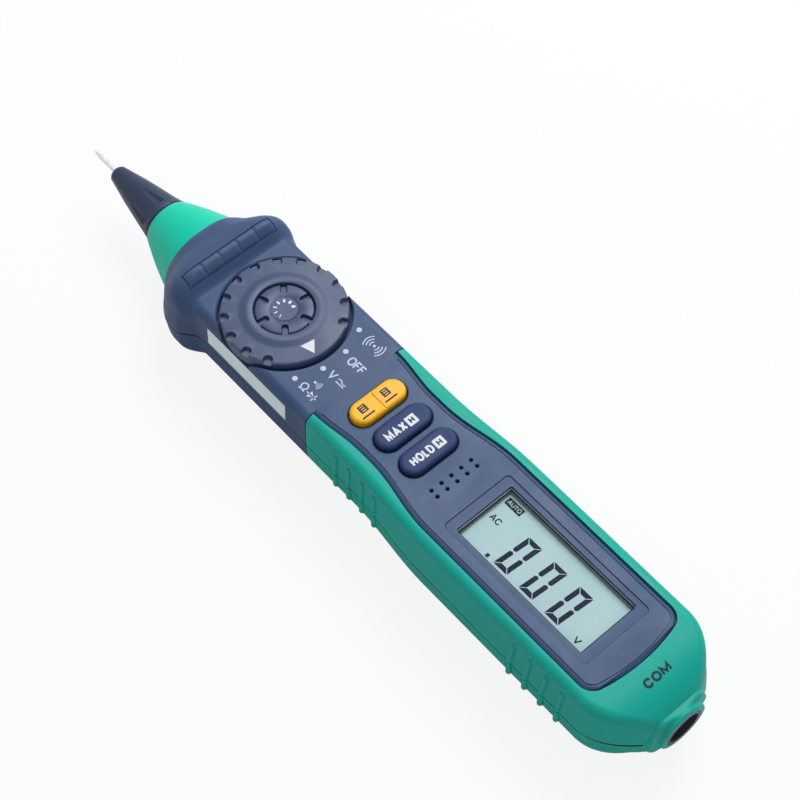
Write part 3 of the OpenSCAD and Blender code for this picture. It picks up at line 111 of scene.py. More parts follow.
def top_z(y):
    """Height of the housing over its middle."""
    if y > GUARD_Y:
        return mix(COLLAR_TOP, CROWN_Z, ease(y, COLLAR_Y, GUARD_Y))
    tail = TAIL_DOWN * way(y, TAIL_Y, REAR_Y) ** TAIL_POWER
    return mix(CROWN_Z, FACE_Z, ease(y, GUARD_Y, VALLEY_Y)) - tail


def low_z(y):
    """Height of the underside."""
    return 1 - ease(y, COLLAR_Y, GUARD_Y) + TAIL_UP * way(y, TAIL_Y, REAR_Y) ** TAIL_POWER


def up_r(y):
    """Corner radius over the parting line."""
    if y > GUARD_Y:
        return mix(COLLAR_HALF, GUARD_R, ease(y, COLLAR_Y, GUARD_Y))
    return mix(GUARD_R, FACE_R, ease(y, GUARD_Y, NECK_Y)) + 1.3 * way(y, TAIL_Y, REAR_Y)


def low_r(y):
    """Corner radius under the parting line."""
    return mix(COLLAR_HALF, UNDER_R, ease(y, COLLAR_Y, GUARD_Y))


def lean(y):
    """How far a side wall leans in over its height."""
    return (1.3 * ease(y, COLLAR_Y, GUARD_Y) - 0.9 * ease(y, GUARD_BACK, NECK_Y)
            + 0.7 * ease(y, WAIST_Y, BODY_Y))


def plate_half(y):
    """Half width of the face plate."""
    w = mix(PLATE_FRONT, PLATE_WAIST, ease(y, GRIP_Y, -12)) / 2 + PLATE_GAIN * ease(y, -16, -36.4)
    if y < CORNER_Y:
        w -= CORNER_R * (1 - math.sqrt(max(0.0, 1 - ((CORNER_Y - y) / CORNER_R) ** 2)))
    return w


# Steps round a section's corner, and the points on its flat top as shares of that flat
STEPS = 12
FLATS = (0.975, 0.95, 0.9, 0.8, 0.6, 0.3)


def quarter(w, h, r, l):
    """One quarter of a section from the parting line to the middle: half width, height, corner, lean."""
    c = min(r, h - 3 * CHAMFER, (w - l) * 0.95)
    e = w - l - c
    pts = [(w - CHAMFER, 0.0), (w - CHAMFER * 0.6, CHAMFER * 0.55), (w - l * CHAMFER / h, CHAMFER)]
    pts += [(w - l * s, CHAMFER + (h - c - CHAMFER) * s) for s in (0.25, 0.5, 0.75)]
    return pts + bow(e, h - c, c, c, 0, 90, STEPS) + [(e * s, h) for s in FLATS]


def arc(q, h):
    """Whole arc from right to left out of one quarter."""
    return q + [(0.0, h)] + [(-x, z) for x, z in reversed(q)]


def side(y, d, up):
    """Arc at a depth d under the outer form, over (up 1) or under (up -1) the parting line."""
    if up > 0:
        h = top_z(y) - SEAM_Z - d
        q = quarter(half_w(y) - d, h, max(up_r(y) - d, 0.5), lean(y))
    else:
        h = SEAM_Z - low_z(y) - d
        q = quarter(half_w(y) - d, h, low_r(y) - d, lean(y) / 3)
    return [(x, y, SEAM_Z + up * z) for x, z in arc(q, h)]


def plate_ring(y, arch, z_top, z_edge):
    """Section of the casing under the grip, with the face plate standing up from it."""
    h = top_z(y) - SEAM_Z - GRIP
    q = quarter(half_w(y) - GRIP, h, max(up_r(y) - GRIP, 0.5), lean(y))
    n, p = len(q) - len(FLATS), plate_half(y)
    base = SEAM_Z + q[n][1]
    edge = min(z_edge, z_top)
    half = [(x, y, SEAM_Z + z) for x, z in q[:n]]
    in_w = p - BEVEL_W
    drop = arch * (1 - (in_w / p) ** 2)
    half += [(p, y, base), (p, y, edge),
             (p - 0.12, y - drop * 0.13, mix(edge, z_top, 0.22)),
             (in_w + 0.1, y - drop * 0.9, mix(edge, z_top, 0.93)),
             (in_w - 0.1, y - drop, z_top), (p / 2, y - arch * 0.75, z_top)]
    return half + [(0.0, y - arch, z_top)] + [(-x, a, z) for x, a, z in reversed(half)]


def span(a, b, n):
    """n + 1 even values from a to b."""
    return [mix(a, b, k / n) for k in range(n + 1)]


def stations(marks, counts):
    """Values from mark to mark, with a count of even steps for each stretch."""
    values = [marks[0]]
    for a, b, n in zip(marks, marks[1:], counts):
        values += span(a, b, n)[1:]
    return values


def bow(cx, cy, rx, ry, a0, a1, n=10):
    """Points of a bow about (cx, cy) from one angle to another, in degrees."""
    angles = [math.radians(a) for a in span(a0, a1, n)]
    return [(cx + rx * math.cos(a), cy + ry * math.sin(a)) for a in angles]


def axes(a):
    """Unit vectors along and across a direction in the plane, given in degrees."""
    a = math.radians(a)
    return Vector((math.cos(a), math.sin(a))), Vector((-math.sin(a), math.cos(a)))


# Mesh helpers

def mesh_object(name, verts, faces, smooth=32):
    """A new object out of millimetre points, shaded smooth up to an angle in degrees."""
    me = bpy.data.meshes.new(name)
    me.from_pydata([(x * MM, y * MM, z * MM) for x, y, z in verts], [], faces)
    me.validate()
    ob = bpy.data.objects.new(name, me)
    bpy.context.scene.collection.objects.link(ob)
    fix_normals(me)
    shade(me, smooth)
    return ob


def fix_normals(me):
    """Turns every face of a closed mesh outward."""
    bm = bmesh.new()
    bm.from_mesh(me)
    bmesh.ops.recalc_face_normals(bm, faces=bm.faces)
    bm.to_mesh(me)
    bm.free()


def shade(me, angle):
    """Smooth shading, with edges over the angle kept sharp."""
    me.polygons.foreach_set("use_smooth", [angle > 0] * len(me.polygons))
    if angle > 0:
        me.set_sharp_from_angle(angle=math.radians(angle))
    me.update()


def bands(n, rows):
    """Faces that join rows of n points, each row closed in itself."""
    return [(i * n + k, i * n + (k + 1) % n, (i + 1) * n + (k + 1) % n, (i + 1) * n + k)
            for i in range(rows - 1) for k in range(n)]


def shell(name, rings):
    """A wall out of rings of (outer arc, inner arc) with equal point counts, closed all round."""
    n = len(rings[0][0])
    m = 2 * n
    verts = []
    for outer, inner in rings:
        verts += list(outer) + list(reversed(inner))
    faces = bands(m, len(rings))
    for e in (0, len(rings) - 1):
        for k in range(n - 1):
            faces.append((e * m + k, e * m + k + 1, e * m + m - 2 - k, e * m + m - 1 - k))
    return mesh_object(name, verts, faces)


def turned(name, profile, y=0.0, z=0.0, axis="Y", parts=96):
    """A closed profile of (radius, place along the axis) turned about an axis."""
    n = len(profile)
    verts, faces = [], []
    for k in range(parts):
        t = 2 * math.pi * k / parts
        for r, a in profile:
            u, v = r * math.cos(t), r * math.sin(t)
            verts.append((u, y + a, z + v) if axis == "Y" else (u, y + v, z + a))
    for k in range(parts):
        j = (k + 1) % parts
        for i in range(n):
            h = (i + 1) % n
            faces.append((k * n + i, k * n + h, j * n + h, j * n + i))
    ob = mesh_object(name, verts, faces)
    weld(ob.data)
    return ob


def weld(me):
    """Joins points that fall on one place, as on a turned piece's axis."""
    bm = bmesh.new()
    bm.from_mesh(me)
    bmesh.ops.remove_doubles(bm, verts=bm.verts, dist=1e-7)
    bmesh.ops.dissolve_degenerate(bm, edges=bm.edges, dist=1e-8)
    bmesh.ops.recalc_face_normals(bm, faces=bm.faces)
    bm.to_mesh(me)
    bm.free()


def stack(name, outlines):
    """Outlines of equal point count, each with its height, joined from the bottom to the top."""
    n = len(outlines[0][0])
    verts = [(x, y, z) for o, z in outlines for x, y in o]
    ends = [tuple(reversed(range(n))), tuple(range((len(outlines) - 1) * n, len(outlines) * n))]
    return mesh_object(name, verts, ends + bands(n, len(outlines)))


def prism(name, outline, z0, z1):
    """An outline of (x, y) raised from z0 to z1."""
    return stack(name, [(outline, z0), (outline, z1)])


def stepped(name, inner, outer, z0, z1, z2, z3):
    """One outline from z0 to z1 that opens to another from z2 to z3."""
    return stack(name, [(inner, z0), (inner, z1), (outer, z2), (outer, z3)])


def box_outline(w, l, r, x=0.0, y=0.0, n=8):
    """Outline of a rounded rectangle about (x, y)."""
    pts = []
    for cx, cy, a in ((1, 1, 0), (-1, 1, 90), (-1, -1, 180), (1, -1, 270)):
        pts += bow(x + cx * (w / 2 - r), y + cy * (l / 2 - r), r, r, a, a + 90, n)
    return pts


def round_outline(r, x=0.0, y=0.0, n=48):
    """Outline of a circle."""
    return bow(x, y, r, r, 0, 360, n)[:-1]


def pane(grow, r):
    """Outline of the display window, grown all over."""
    return box_outline(WINDOW_W + grow, WINDOW_L + grow, r, 0, WINDOW_Y)


def sill(grow, r):
    """Outline of the sunk sill round the window, grown all over."""
    return box_outline(SILL_W + grow, SILL_L + grow, r, 0, WINDOW_Y)


def key_outline(y, grow, r, n=12):
    """Outline of a key's opening, grown all over."""
    return box_outline(KEY_W + grow, KEY_L + grow, r, 0, y, n)


def jack_bore(y, parts):
    """A cutter for the jack's bore, from behind the tail to y."""
    profile = [(0, JACK_REAR), (JACK_R, JACK_REAR), (JACK_R, y), (0, y)]
    return turned("t_jack", profile, z=SEAM_Z, parts=parts)


def cover_hole():
    """A cutter for the battery cover's place."""
    return prism("t_cover", box_outline(COVER_W, COVER_L, COVER_R, 0, COVER_Y), -2, 9)


# Least cosine at a bend, so that sharp corners don't run out
SHARPEST = 0.44


def mitre(a, p, b):
    """Direction across a path at p between a and b, longer at a bend to keep a band's width."""
    u, v = Vector((p[0] - a[0], p[1] - a[1])), Vector((b[0] - p[0], b[1] - p[1]))
    u = u.normalized() if u.length > 1e-9 else v.normalized()
    v = v.normalized() if v.length > 1e-9 else u
    t = (u + v).normalized() if (u + v).length > 1e-6 else u
    n = Vector((-t.y, t.x))
    k = 1 / max(SHARPEST, abs(n.dot(Vector((-u.y, u.x)))))
    return n.x * k, n.y * k


def ribbon(name, path, w, z0, z1, closed=True):
    """A band of width w along a path of (x, y), from z0 to z1."""
    n = len(path)
    left, right = [], []
    for k in range(n):
        a = path[(k - 1) % n] if closed or k else path[k]
        b = path[(k + 1) % n] if closed or k < n - 1 else path[k]
        nx, ny = mitre(a, path[k], b)
        left.append((path[k][0] + nx * w / 2, path[k][1] + ny * w / 2))
        right.append((path[k][0] - nx * w / 2, path[k][1] - ny * w / 2))
    verts = [(x, y, z) for z in (z0, z1) for edge in (left, right) for x, y in edge]
    faces = []
    for k in range(n if closed else n - 1):
        j = (k + 1) % n
        faces += [(k, j, n + j, n + k), (2 * n + k, 3 * n + k, 3 * n + j, 2 * n + j),
                  (k, 2 * n + k, 2 * n + j, j), (n + k, n + j, 3 * n + j, 3 * n + k)]
    if not closed:
        faces += [(0, n, 3 * n, 2 * n), (n - 1, 3 * n - 1, 4 * n - 1, 2 * n - 1)]
    return mesh_object(name, verts, faces)


def cut(ob, tools, join=(), smooth=32):
    """Takes the tools off a solid and adds the joined ones, then drops the tools."""
    for kind, group in (("UNION", join), ("DIFFERENCE", tools)):
        for t in group:
            m = ob.modifiers.new(t.name, "BOOLEAN")
            m.operation, m.solver, m.object = kind, "MANIFOLD", t
    bpy.context.view_layer.update()
    me = bpy.data.meshes.new_from_object(ob.evaluated_get(bpy.context.evaluated_depsgraph_get()))
    if len(me.polygons) < 10:
        raise RuntimeError(f"{ob.name}: the cut left nothing")
    ob.modifiers.clear()
    old, ob.data = ob.data, me
    bpy.data.meshes.remove(old)
    me.name = ob.name
    for t in (*tools, *join):
        bpy.data.objects.remove(t)
    shade(me, smooth)
    return ob


def soften(ob, width):
    """Small rounded edges as a modifier, with even normals."""
    bevel = ob.modifiers.new("rounded_edges", "BEVEL")
    bevel.width, bevel.segments, bevel.limit_method = width * MM, 2, "ANGLE"
    bevel.angle_limit = math.radians(40)
    bevel.use_clamp_overlap = True
    ob.modifiers.new("even_normals", "WEIGHTED_NORMAL").keep_sharp = True


# Finishes

def new_material(name):
    """An empty node material and its tree."""
    mat = bpy.data.materials.new(name)
    mat.use_nodes = True
    mat.node_tree.nodes.clear()
    return mat, mat.node_tree


def add_node(tree, kind, **values):
    """A shader node with inputs and settings by name, an input's spaces written as underscores."""
    node = tree.nodes.new("ShaderNode" + kind)
    for key, value in values.items():
        label = key.replace("_", " ")
        if label in node.inputs:
            node.inputs[label].default_value = value
        else:
            setattr(node, key, value)
    return node


def finish(name, colour, rough, grain, bump, drift, patch, metal=0.0, rough_drift=0.08,
           stretch=(1, 1, 1), coat=0.0, spec=0.32, wear=0.0, alpha=1.0, kind="noise"):
    """A procedural finish; grain and patch are sizes and bump is a height, in millimetres."""
    mat, tree = new_material(name)
    link = tree.links.new
    out = add_node(tree, "OutputMaterial")
    bsdf = add_node(tree, "BsdfPrincipled", Metallic=metal, Specular_IOR_Level=spec, Coat_Weight=coat,
                    Coat_Roughness=0.12, Alpha=alpha)
    link(bsdf.outputs[0], out.inputs[0])
    spot = add_node(tree, "TexCoord").outputs["Object"]
    stretched = add_node(tree, "Mapping", Scale=stretch)
    link(spot, stretched.inputs[0])
    patches = add_node(tree, "TexNoise", Scale=1 / (patch * MM), Detail=4.0, Roughness=0.55)
    link(spot, patches.inputs["Vector"])
    height = "Fac"
    if kind == "cells":
        fine = add_node(tree, "TexVoronoi", Scale=1 / (grain * MM))
        height = "Distance"
    elif kind == "weave":
        fine = add_node(tree, "TexWave", Scale=0.3 / (grain * MM), Distortion=1.2, Detail=2.0)
    else:
        fine = add_node(tree, "TexNoise", Scale=1 / (grain * MM), Detail=3.0, Roughness=0.6)
    link(stretched.outputs[0], fine.inputs["Vector"])
    relief = add_node(tree, "Bump", Strength=1.0, Distance=bump * MM)
    link(fine.outputs[height], relief.inputs["Height"])
    link(relief.outputs[0], bsdf.inputs["Normal"])

    def drifting(low, high):
        """A value that drifts between two others in patches."""
        level = add_node(tree, "MapRange", From_Min=0.3, From_Max=0.7, To_Min=low, To_Max=high)
        link(patches.outputs["Fac"], level.inputs["Value"])
        return level.outputs[0]

    tone = add_node(tree, "HueSaturation", Color=(*colour, 1))
    link(drifting(1 - drift, 1 + drift), tone.inputs["Value"])
    shown = tone.outputs[0]
    if wear:
        edges = add_node(tree, "MapRange", From_Min=0.505, From_Max=0.56, To_Max=wear)
        link(add_node(tree, "NewGeometry").outputs["Pointiness"], edges.inputs["Value"])
        blend = add_node(tree, "Mix", data_type="RGBA")
        fresh, worn = [s for s in blend.inputs if s.type == "RGBA"]
        worn.default_value = (*[min(1, c * 1.5 + 0.05) for c in colour], 1)
        link(edges.outputs[0], blend.inputs[0])
        link(shown, fresh)
        shown = next(s for s in blend.outputs if s.type == "RGBA")
    link(shown, bsdf.inputs["Base Color"])
    link(drifting(max(0.02, rough - rough_drift), min(1, rough + rough_drift)), bsdf.inputs["Roughness"])
    return mat


FINISHES = {}


def coat_with(ob, name):
    """Gives an object one of the finishes, made on first use from the colours of the panel."""
    if name not in FINISHES:
        colours = bpy.context.scene.meter_colours
        _, numbers, others = RECIPES[name]
        FINISHES[name] = finish(name, tuple(getattr(colours, name)), *numbers, **others)
    ob.data.materials.clear()
    ob.data.materials.append(FINISHES[name])
    return ob


def dress(node, name, width=0.0, angle=30):
    """A CAD solid keeps its shape and gets a finish, smooth shading and small rounded edges."""
    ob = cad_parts[node]
    shade(ob.data, angle)
    coat_with(ob, name)
    if width:
        soften(ob, width)


def dress_all(rows):
    """Dresses CAD nodes, each by a row of what dress takes."""
    for row in rows:
        dress(*row)
    return {"FINISHED"}


def place(ob, body, finish_name, *nodes):
    """A new piece rides on a body, takes a finish and stands for the CAD nodes named."""
    coat_with(ob, finish_name)
    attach(ob, body)
    if nodes:
        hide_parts(*nodes)
    return ob


def slab(name, outline, z0, z1, body, ink):
    """A thin mark or line out of an outline, which rides on a body."""
    place(prism(name, outline, z0, z1), body, ink)


# Each finish: its screen colour, the five numbers that finish takes first, and what else differs
RECIPES = {
    "dark_casing": ((52, 76, 114), (0.48, 0.22, 0.012, 0.05, 14), dict(wear=0.25)),
    "green_grip": ((0, 168, 152), (0.5, 0.3, 0.014, 0.05, 12), dict(spec=0.26, wear=0.15)),
    "green_ring": ((0, 204, 172), (0.4, 0.25, 0.008, 0.04, 8), dict(spec=0.2)),
    "dark_cone": ((28, 44, 74), (0.36, 0.25, 0.01, 0.06, 7), dict(wear=0.3)),
    "seal_rubber": ((24, 26, 30), (0.75, 0.15, 0.02, 0.1, 3), {}),
    "needle_steel": ((214, 216, 220), (0.24, 0.2, 0.004, 0.1, 2), dict(metal=1, stretch=(1, 0.05, 1))),
    "nickel": ((206, 202, 192), (0.28, 0.3, 0.006, 0.08, 3), dict(metal=1)),
    "brass_plated": ((214, 178, 96), (0.26, 0.2, 0.006, 0.1, 2.5), dict(metal=1)),
    "phosphor_bronze": ((196, 138, 86), (0.33, 0.25, 0.006, 0.12, 2), dict(metal=1)),
    "dial_plastic": ((54, 72, 106), (0.44, 0.2, 0.012, 0.06, 9), dict(spec=0.45, wear=0.3)),
    "knob_plastic": ((44, 62, 100), (0.38, 0.18, 0.01, 0.06, 5), dict(spec=0.42, wear=0.12)),
    "cap_grey": ((60, 78, 116), (0.42, 0.15, 0.008, 0.04, 4), dict(spec=0.35)),
    "key_yellow": ((248, 186, 20), (0.42, 0.2, 0.008, 0.03, 6), dict(spec=0.35)),
    "key_dark": ((38, 58, 102), (0.5, 0.2, 0.01, 0.05, 6), dict(spec=0.2, wear=0.2)),
    "mat_rubber": ((150, 152, 150), (0.8, 0.3, 0.02, 0.08, 5), {}),
    "window": ((120, 130, 132), (0.12, 2.5, 0.0004, 0.01, 20), dict(rough_drift=0.02, spec=0.3, alpha=0.02)),
    "lcd_glass": ((156, 194, 198), (0.3, 0.12, 0.002, 0.02, 18), dict(kind="cells")),
    "black_abs": ((34, 36, 40), (0.55, 0.25, 0.012, 0.1, 6), {}),
    "zebra_rubber": ((90, 90, 86), (0.7, 0.5, 0.02, 0.2, 1), dict(stretch=(4, 1, 1))),
    "board_fr4": ((22, 104, 58), (0.35, 0.6, 0.01, 0.12, 4), dict(coat=0.3, kind="weave")),
    "chip_resin": ((30, 31, 34), (0.6, 0.15, 0.01, 0.08, 2), {}),
    "lamp_lens": ((190, 40, 32), (0.18, 0.8, 0.003, 0.05, 2), dict(coat=0.4)),
    "spring_steel": ((190, 188, 182), (0.3, 0.3, 0.005, 0.15, 1.5), dict(metal=1)),
    "cell_wrap": ((46, 60, 128), (0.3, 1.2, 0.006, 0.08, 7), dict(coat=0.3)),
    "screw_steel": ((150, 150, 154), (0.35, 0.2, 0.008, 0.15, 1.5), dict(metal=1)),
    "shroud_black": ((52, 56, 76), (0.45, 0.2, 0.01, 0.1, 4), {}),
    "label_white": ((234, 252, 255), (0.6, 0.3, 0.006, 0.03, 5), {}),
    "legend_white": ((226, 230, 240), (0.6, 0.15, 0.004, 0.04, 3), {}),
    "legend_pale": ((196, 206, 238), (0.6, 0.15, 0.004, 0.04, 3), {}),
    "legend_dark": ((8, 34, 58), (0.6, 0.15, 0.004, 0.08, 3), {}),
    "digit_navy": ((14, 24, 50), (0.6, 0.15, 0.002, 0.06, 6), dict(spec=0.1)),
    # Painted highlight, for the light line at the window's lens edge
    "rim_light": ((226, 240, 240), (0.3, 0.4, 0.004, 0.06, 6), {}),
    "shadow_line": ((10, 16, 26), (0.8, 0.3, 0.006, 0.1, 5), {}),
}


# Values of the panel

def length(name, text, value, low, high):
    """A length a user may change, in metres, given here in millimetres."""
    return bpy.props.FloatProperty(name=name, description=text, default=value * MM, min=low * MM,
                                   max=high * MM, unit="LENGTH", precision=5)


class MeterSizes(bpy.types.PropertyGroup):
    """Sizes of the dressing that a user would change."""
    rib_r: length("Rib radius", "Radius of the side ribs of the grip", 0.75, 0.4, 1.0)
    groove_w: length("Plate groove", "Width of the groove round the face plate", 0.26, 0.1, 0.5)
    print_t: length("Print thickness", "Height of printed legends over their ground", 0.03, 0.01, 0.08)
    # Width of the painted highlight line at the window's lens edge
    rim_highlight_w: length("Window rim", "Width of the light line round the window", 0.2, 0.1, 0.6)
    segment_w: length("Segment width", "Width of a segment of the digits", 1.2, 0.6, 1.4)
    edge_r: length("Edge rounding", "Rounding of the small parts' edges", 0.2, 0.05, 0.4)


class MeterColours(bpy.types.PropertyGroup):
    """Colours of the finishes."""
    __annotations__ = {
        key: bpy.props.FloatVectorProperty(
            name=key.replace("_", " ").capitalize(), description="Base colour of the finish " + key,
            subtype="COLOR", size=3, min=0, max=1, default=paint(*rgb))
        for key, (rgb, _, _) in RECIPES.items()
    }


def level(name, text, value, high, unit="NONE"):
    """A power or strength a user may change."""
    return bpy.props.FloatProperty(name=name, description=text, default=value, min=0, max=high, unit=unit)


class MeterStage(bpy.types.PropertyGroup):
    """Studio round the meter."""
    key_power: level("Key lamp", "Power of the main lamp, over the meter's right side", 5.7, 30, "POWER")
    fill_power: level("Fill lamp", "Power of the weak lamp, over the meter's left side", 0.3, 30, "POWER")
    sky: level("Surroundings", "Strength of the white surroundings", 0.32, 2)
    floor: bpy.props.FloatVectorProperty(name="Floor", description="Colour of the floor", subtype="COLOR",
                                         size=3, min=0, max=1, default=(0.86, 0.86, 0.87))


# Pieces

def outline_of_plate(g):
    """Outline of the face plate, grown by g, from the grip's front edge round its bowed rear end."""
    right = [(plate_half(y) + g, y) for y in span(GRIP_Y + 0.5, CORNER_Y, 44)]
    r = CORNER_R + g
    right += bow(plate_half(CORNER_Y) - CORNER_R, CORNER_Y, r, r, 0, -75, 8)[1:]
    x, y = right[-1]
    right += [(x * (1 - s), y - PLATE_BOW * (1 - (1 - s) ** 2)) for s in span(0, 1, 10)[1:]]
    return right + [(-a, b) for a, b in reversed(right[:-1])]


def screw_places():
    """Places (x, y) of the four casing screws, from the CAD screws' own points."""
    corners = {}
    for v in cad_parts["casing_screws"].data.vertices:
        corners.setdefault((v.co.x > 0, v.co.y > 0), []).append(v.co)
    return [((min(c.x for c in g) + max(c.x for c in g)) / 2 / MM,
             (min(c.y for c in g) + max(c.y for c in g)) / 2 / MM) for g in corners.values()]


class METER_OT_upper_casing(bpy.types.Operator):
    """Moulds the dark upper casing: neck, finger guard, dial recess and face plate in one wall"""
    bl_idname = "meter.upper_casing"
    bl_label = "Upper casing"

    def execute(self, context):
        rings = []
        for y in stations((COLLAR_Y, GUARD_Y, NECK_Y, GRIP_Y + 0.15), (22, 22, 14)):
            thick = WALL + DIAL_WALL * (ease(y, *DIAL_WALL_FRONT) - ease(y, *DIAL_WALL_BACK))
            rings.append((side(y, 0, 1), side(y, thick, 1)))
        deep = GRIP + WALL
        under = stations((GRIP_Y, WAIST_Y, BODY_Y, CORNER_Y), (8, 12, 8))
        under += [CORNER_Y - CORNER_R * math.sin(math.radians(a)) for a in span(0, 60, 8)[1:]]
        for y in under:
            b = (PLATE_BOW - BEVEL_W / 2) * way(y, CORNER_Y, PLATE_REAR)
            rings.append((plate_ring(y, b, FACE_Z, FACE_Z - BEVEL_H), side(y, deep, 1)))
        floor = FACE_Z - GRIP - 0.04
        for y, z_top, z_edge in ((PLATE_REAR, FACE_Z - BEVEL_H, FACE_Z - 2 * BEVEL_H),
                                 (PLATE_REAR - 0.15, floor, floor)):
            rings.append((plate_ring(y, PLATE_BOW, z_top, z_edge), side(y, deep, 1)))
        for y in span(BEHIND_PLATE, REAR_Y, 10):
            rings.append((side(y, GRIP + 0.02, 1), side(y, deep, 1)))
        ob = shell("housing_upper", rings)
        cut(ob, self.dial_and_window() + self.keys_and_holes() + self.groove(context) + [self.band()])
        place(ob, "meter", "dark_casing", "upper_casing")
        pitch, half = 5.25, 2.4
        for k in range(5):
            x = (k - 2) * pitch
            pad = self.on_crown(f"guard_pad{k}", x - half, x + half, GUARD_Y - 2.3, GUARD_Y + 0.8, 0.7,
                                (-0.2, 0.02, 0.05))
            place(pad, "meter", "dark_casing")
        return {"FINISHED"}

    def dial_and_window(self):
        """Cutters for the dial's recess and hub, the window with its sill, and the jack's bore."""
        recess, lip = (round_outline(r, 0, DIAL_Y, 128) for r in (RECESS_R, RECESS_R + 0.4))
        return [
            stepped("t_recess", recess, lip, RECESS_Z, FACE_Z - 0.35, FACE_Z + 0.02, 34),
            prism("t_hub", round_outline(4.5, 0, DIAL_Y), 10, 24),
            stack("t_window", [(pane(0, 0.5), 15), (pane(0, 0.5), FACE_Z - 0.25),
                               (sill(0, 1.1), FACE_Z - 0.249), (sill(0.06, 1.1), FACE_Z + 1)]),
            prism("t_rebate", sill(0.12, 0.4), 12, 23.7),
            jack_bore(-88, 48),
        ]

    def keys_and_holes(self):
        """Cutters for the three keys' openings and the two rows of sounder holes."""
        tools = [stepped("t_key", key_outline(y, 0, 3.499), key_outline(y, 0.6, 3.799),
                         12, FACE_Z - 0.2, FACE_Z + 0.02, 27) for y in KEY_YS]
        pitch, row_gap, rows_y = 2.96, 1.99, -31.2
        for k in range(5):
            for r in (-1, 1):
                hole, mouth = (round_outline(size, (k - 2) * pitch, rows_y + r * row_gap / 2, 20)
                               for size in (0.45, 0.62))
                tools.append(stepped("t_hole", hole, mouth, 12, FACE_Z - 0.15, FACE_Z + 0.02, FACE_Z + 1))
        return tools

    def groove(self, context):
        """Cutter for the fine groove round the face plate."""
        w = context.scene.meter_sizes.groove_w / MM
        path = [p for p in outline_of_plate(-BEVEL_W - w / 2 - 0.05) if p[1] < GRIP_Y - 0.4]
        return [ribbon("t_groove", path, w, FACE_Z - 0.22, FACE_Z + 0.5, closed=False)]

    def band(self):
        """Cutter for the shallow band on the guard that the pads stand in."""
        return self.on_crown("t_band", -13.1, 13.1, GUARD_Y - 2.5, GUARD_Y + 1.0, 0.3, (3,), 72)

    def on_crown(self, name, x0, x1, y0, y1, deep, rim, nx=16, ny=12):
        """A closed block on the guard's crown; rim gives its height over the crown from its edge inward."""
        verts = []
        for j in range(ny + 1):
            for i in range(nx + 1):
                x, y = mix(x0, x1, i / nx), mix(y0, y1, j / ny)
                h = top_z(y) - SEAM_Z
                c = min(up_r(y), h - 3 * CHAMFER, (half_w(y) - lean(y)) * 0.95)
                over = max(0.0, abs(x) - (half_w(y) - lean(y) - c))
                z = SEAM_Z + h - c + math.sqrt(max(0.0, c * c - over * over))
                verts.append((x, y, z + rim[min(i, j, nx - i, ny - j, len(rim) - 1)]))
        n = (nx + 1) * (ny + 1)
        verts += [(x, y, z - deep - (rim[0] if len(rim) == 1 else 0)) for x, y, z in verts]
        faces = []
        for j in range(ny):
            for i in range(nx):
                a = j * (nx + 1) + i
                b = a + nx + 1
                faces += [(a, a + 1, b + 1, b), (n + a, n + b, n + b + 1, n + a + 1)]
        loop = (list(range(nx + 1)) + [(j + 1) * (nx + 1) - 1 for j in range(1, ny + 1)]
                + [ny * (nx + 1) + i for i in range(nx - 1, -1, -1)]
                + [j * (nx + 1) for j in range(ny - 1, 0, -1)])
        faces += [(a, n + a, n + b, b) for a, b in zip(loop, loop[1:] + loop[:1])]
        return mesh_object(name, verts, faces, 50)


class METER_OT_lower_casing(bpy.types.Operator):
    """Moulds the lower casing with its battery opening and screw wells"""
    bl_idname = "meter.lower_casing"
    bl_label = "Lower casing"

    def execute(self, context):
        rings = [(side(y, 0, -1), side(y, WALL, -1))
                 for y in stations((COLLAR_Y, GUARD_Y, NECK_Y, GRIP_Y + 0.15), (16, 14, 12))]
        rings += [(side(y, GRIP, -1), side(y, GRIP + WALL, -1))
                  for y in stations((GRIP_Y, WAIST_Y, BODY_Y, TAIL_Y, REAR_Y), (6, 10, 10, 12))]
        wells = [prism("t_screw", round_outline(2.3, x, y, 40), -2, 6) for x, y in screw_places()]
        ob = cut(shell("housing_lower", rings), [cover_hole(), jack_bore(-88, 48)] + wells)
        place(ob, "meter", "dark_casing", "lower_casing")
        return {"FINISHED"}


# Places of the side ribs along the body: four at the keys and four at the tail
RIB_YS = [-8.2 - 4.6 * k for k in range(4)] + [-68.5 - 4.95 * k for k in range(4)]
# Rings of a rib's round end, as shares of its radius from the tip inward
RIB_END = (0.98, 0.85, 0.6, 0.3, 0)


def rib(name, a, b, r):
    """A round-ended rod from a to b, lying on a side wall."""
    a, b = Vector(a), Vector(b)
    axis = (b - a).normalized()
    u = axis.cross(Vector((0, 1, 0))).normalized()
    v = axis.cross(u)
    rings = [(a, -s) for s in RIB_END] + [(b, s) for s in reversed(RIB_END)]
    verts, n = [], 20
    for p, s in rings:
        c = p + axis * r * s
        q = r * math.sqrt(1 - s * s)
        verts += [tuple(c + u * q * math.cos(t) + v * q * math.sin(t))
                  for t in span(0, 2 * math.pi, n)[:-1]]
    ends = [tuple(range(n)), tuple(range((len(rings) - 1) * n, len(rings) * n))]
    return mesh_object(name, verts, ends + bands(n, len(rings)), 60)


# End of the grip: share of the way from the housing's outline to the boss, place along the body, boss radius
TAIL_END = ((0.03, -101.6, 6.5), (0.09, -101.95, 6.5), (0.2, -102.2, 6.5), (0.36, -102.36, 6.5),
            (0.56, -102.48, 6.5), (0.74, -102.6, 6.5), (0.87, -102.78, 6.5), (0.95, -103.0, 6.5),
            (1, -103.28, 6.5), (1, -103.55, 6.46), (1, -103.78, 6.34), (1, -103.93, 6.12), (1, -104, 5.85))


